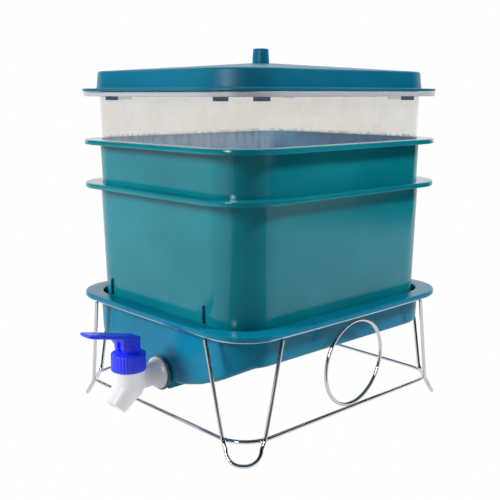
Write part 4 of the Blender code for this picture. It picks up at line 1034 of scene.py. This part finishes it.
def paddle_form():
    """Paddle: sections |x / half|^3 + |z / thick|^3 = 1, whose halves follow the length."""
    share = np.array((0, 0.22, 0.40, 0.58, 0.82, 0.92, 0.98, 1.0))
    wide = np.array((0.72, 0.74, 0.92, 1.0, 1.0, 0.96, 0.84, 0.70))
    thick = np.array((0.9, 1.0, 1.0, 1.0, 1.0, 1.0, 0.92, 0.7))
    along = np.concatenate([np.linspace(0, 0.8, 20), np.linspace(0.82, 1, 14)])
    half_x = PADDLE_HALF[0] * np.interp(along, share, wide)[:, None]
    half_z = PADDLE_HALF[1] * np.interp(along, share, thick)[:, None]
    y = (0.0088 - along * PADDLE_LONG)[:, None]
    middle = LEVER_TOP + (LEVER_BACK - y) * math.tan(PADDLE_RISE) - PADDLE_HALF[1]
    angle = np.arange(48) * 2 * math.pi / 48
    x, z = (np.sign(turn) * np.abs(turn) ** (2 / 3) for turn in (np.cos(angle), np.sin(angle)))
    grid = np.stack([half_x * x, y + 0 * x, middle + half_z * z], axis=-1)
    return outward(skin("paddle", grid + PIN))


def build_lever():
    """Lever: cheeks and paddle joined, slotted for the stem's eye, bored and softened."""
    lever = carve(lever_block(), paddle_form(), "UNION")
    slot_low, slot_high = (-0.003, -0.0153, -0.0108), (0.003, 0.0134, 0.0062)
    carve(lever, blocks("slot", [(np.add(PIN, slot_low), np.add(PIN, slot_high))]))
    carve(lever, turned("bore", [(0.0018, -0.018), (0.0018, 0.018)], PIN, (1, 0, 0)))
    return soften(lever, grain=0.0004, rounds=3)


dress(build_lever(), TAP_BLUE, "tap_lever", "tap_lever", slot="tap_blue", sharp=0)

pin_end = edge(0.0012, 0.0087, 0.0003, 0, 90)
pin = turned("look_tap_pin", [(r, -z) for r, z in reversed(pin_end)] + pin_end, PIN, (1, 0, 0),
             steps=32)
dress(pin, TAP_BLUE, "tap_lever", "tap_pin", slot="tap_blue")


# Nodes that keep their own mesh and get a finish
kept = {"tap_stem": TAP_BLUE, "tap_seal": RUBBER}
kept.update({node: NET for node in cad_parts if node.startswith("vent_screen")})
for node, finish in kept.items():
    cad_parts[node].data.materials.clear()
    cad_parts[node].data.materials.append(finish)


# Floor, walls, cards and light

def staged(name, corners, glow, seen=True, mirrored=True, lighting=False):
    """Flat sheet of the studio with a white glow of some strength, and what may see it."""
    made = piece(name, corners, [tuple(range(len(corners)))])
    finish = Finish(name, base_color=(0, 0, 0, 1), roughness=1.0, emission_color=(1, 1, 1, 1),
                    emission_strength=glow, specular_ior_level=0.0)
    made.data.materials.append(finish.material)
    made.visible_camera, made.visible_glossy, made.visible_diffuse = seen, mirrored, lighting
    made.visible_shadow = False


def sheet(low, high, z=0.0):
    """Corners of a level sheet."""
    return [(low[0], low[1], z), (high[0], low[1], z), (high[0], high[1], z), (low[0], high[1], z)]


def upright(start, stop, low, high):
    """Corners of an upright card between two places on the floor."""
    return [(*start, low), (*stop, low), (*stop, high), (*start, high)]


# The camera sees the floor, the backdrop and, in other views, the walls that close the room. The
# object mirrors and is lit by sheets and cards of their own.
FLOOR = (-9, -9), (9, 9)
WALL_HIGH = 9
SEEN = {"mirrored": False}
MIRRORED = {"seen": False}
LIGHTING = {"seen": False, "mirrored": False, "lighting": True}
DIM_FLOOR = (0.10, -0.42), (1.0, -2.2), (2.2, -1.0), (2.2, 0.2), (0.22, 0.0)

staged("studio_floor", sheet(*FLOOR), 1.0, **SEEN)
staged("floor_light", sheet(*FLOOR), 0.5, **LIGHTING)
staged("floor_side_glow", sheet((0.155, -0.25), (0.45, 0.25), 0.002), 1.1, **LIGHTING)
staged("floor_mirrored", sheet((-3.4, -3.4), (3.4, 3.4)), 0.75, **MIRRORED)
staged("studio_backdrop", upright((-9.0, -4.0), (4.0, 9.0), 0, WALL_HIGH), 1.0)
for number, ends in enumerate((((4, 9), (9, 4)), ((9, 4), (-4, -9)), ((-4, -9), (-9, -4)))):
    staged(f"studio_wall_{number}", upright(*ends, 0, WALL_HIGH), 1.0, **SEEN)
staged("front_floor_dim", [(x, y, 0.001) for x, y in DIM_FLOOR], 0.12, **MIRRORED)
staged("dark_card_back", upright((0.28, 1.36), (1.68, 0.06), 0, 1.3), 0.0, **MIRRORED)
staged("dark_card_camera", upright((0.2, -2.0), (2.2, -0.2), 0, 1.6), 0.0, **MIRRORED)
staged("dark_card_left", upright((-3.3, -0.6), (0.0, -3.3), 0, 2.2), 0.02, **MIRRORED)
staged("strip_card", upright((0.44, -1.31), (0.64, -1.24), 0.30, 0.85), 22.0, **MIRRORED)
staged("narrow_card", upright((0.75, 0.010), (0.75, 0.035), 0.0, 0.45), 0.35, **MIRRORED)


MIDDLE = Vector((0, 0.03, 0.22))


def softbox(name, at, size, power):
    """Square area light that faces the object's middle and isn't mirrored."""
    data = bpy.data.lights.new(name, "AREA")
    data.shape, data.size, data.energy = "SQUARE", size, power
    made = bpy.data.objects.new(name, data)
    made.visible_glossy = False
    made.location = at
    made.rotation_euler = (MIDDLE - Vector(at)).to_track_quat("-Z", "Y").to_euler()
    bpy.context.scene.collection.objects.link(made)


softbox("key_softbox", (-1.0, -1.9, 1.1), size=0.7, power=58)
softbox("side_softbox", (1.35, 0.95, 1.6), size=0.4, power=40)

world = bpy.data.worlds.new("studio")
world.use_nodes = True
background = world.node_tree.nodes["Background"]
background.inputs["Color"].default_value = (1, 1, 1, 1)
background.inputs["Strength"].default_value = 0.10
bpy.context.scene.world = world
bpy.context.scene.view_settings.view_transform = "Standard"


# Camera, fitted to edges traced in the photograph

CAMERA_AT = (0.6978, -0.6255, 0.3594)
TURN = math.radians(47.28)            # from the front to the right
DIP = math.radians(7.07)

lens = bpy.data.cameras.new("camera")
lens.lens = 59.19
lens.sensor_width = 36.0
lens.shift_y = -0.11
lens.clip_start = 0.05
lens.clip_end = 60
camera = bpy.data.objects.new("camera", lens)
back = Vector((math.sin(TURN) * math.cos(DIP), -math.cos(TURN) * math.cos(DIP), math.sin(DIP)))
camera.location = CAMERA_AT
camera.rotation_mode = "QUATERNION"
camera.rotation_quaternion = (-back).to_track_quat("-Z", "Y")
bpy.context.scene.collection.objects.link(camera)
bpy.context.scene.camera = camera
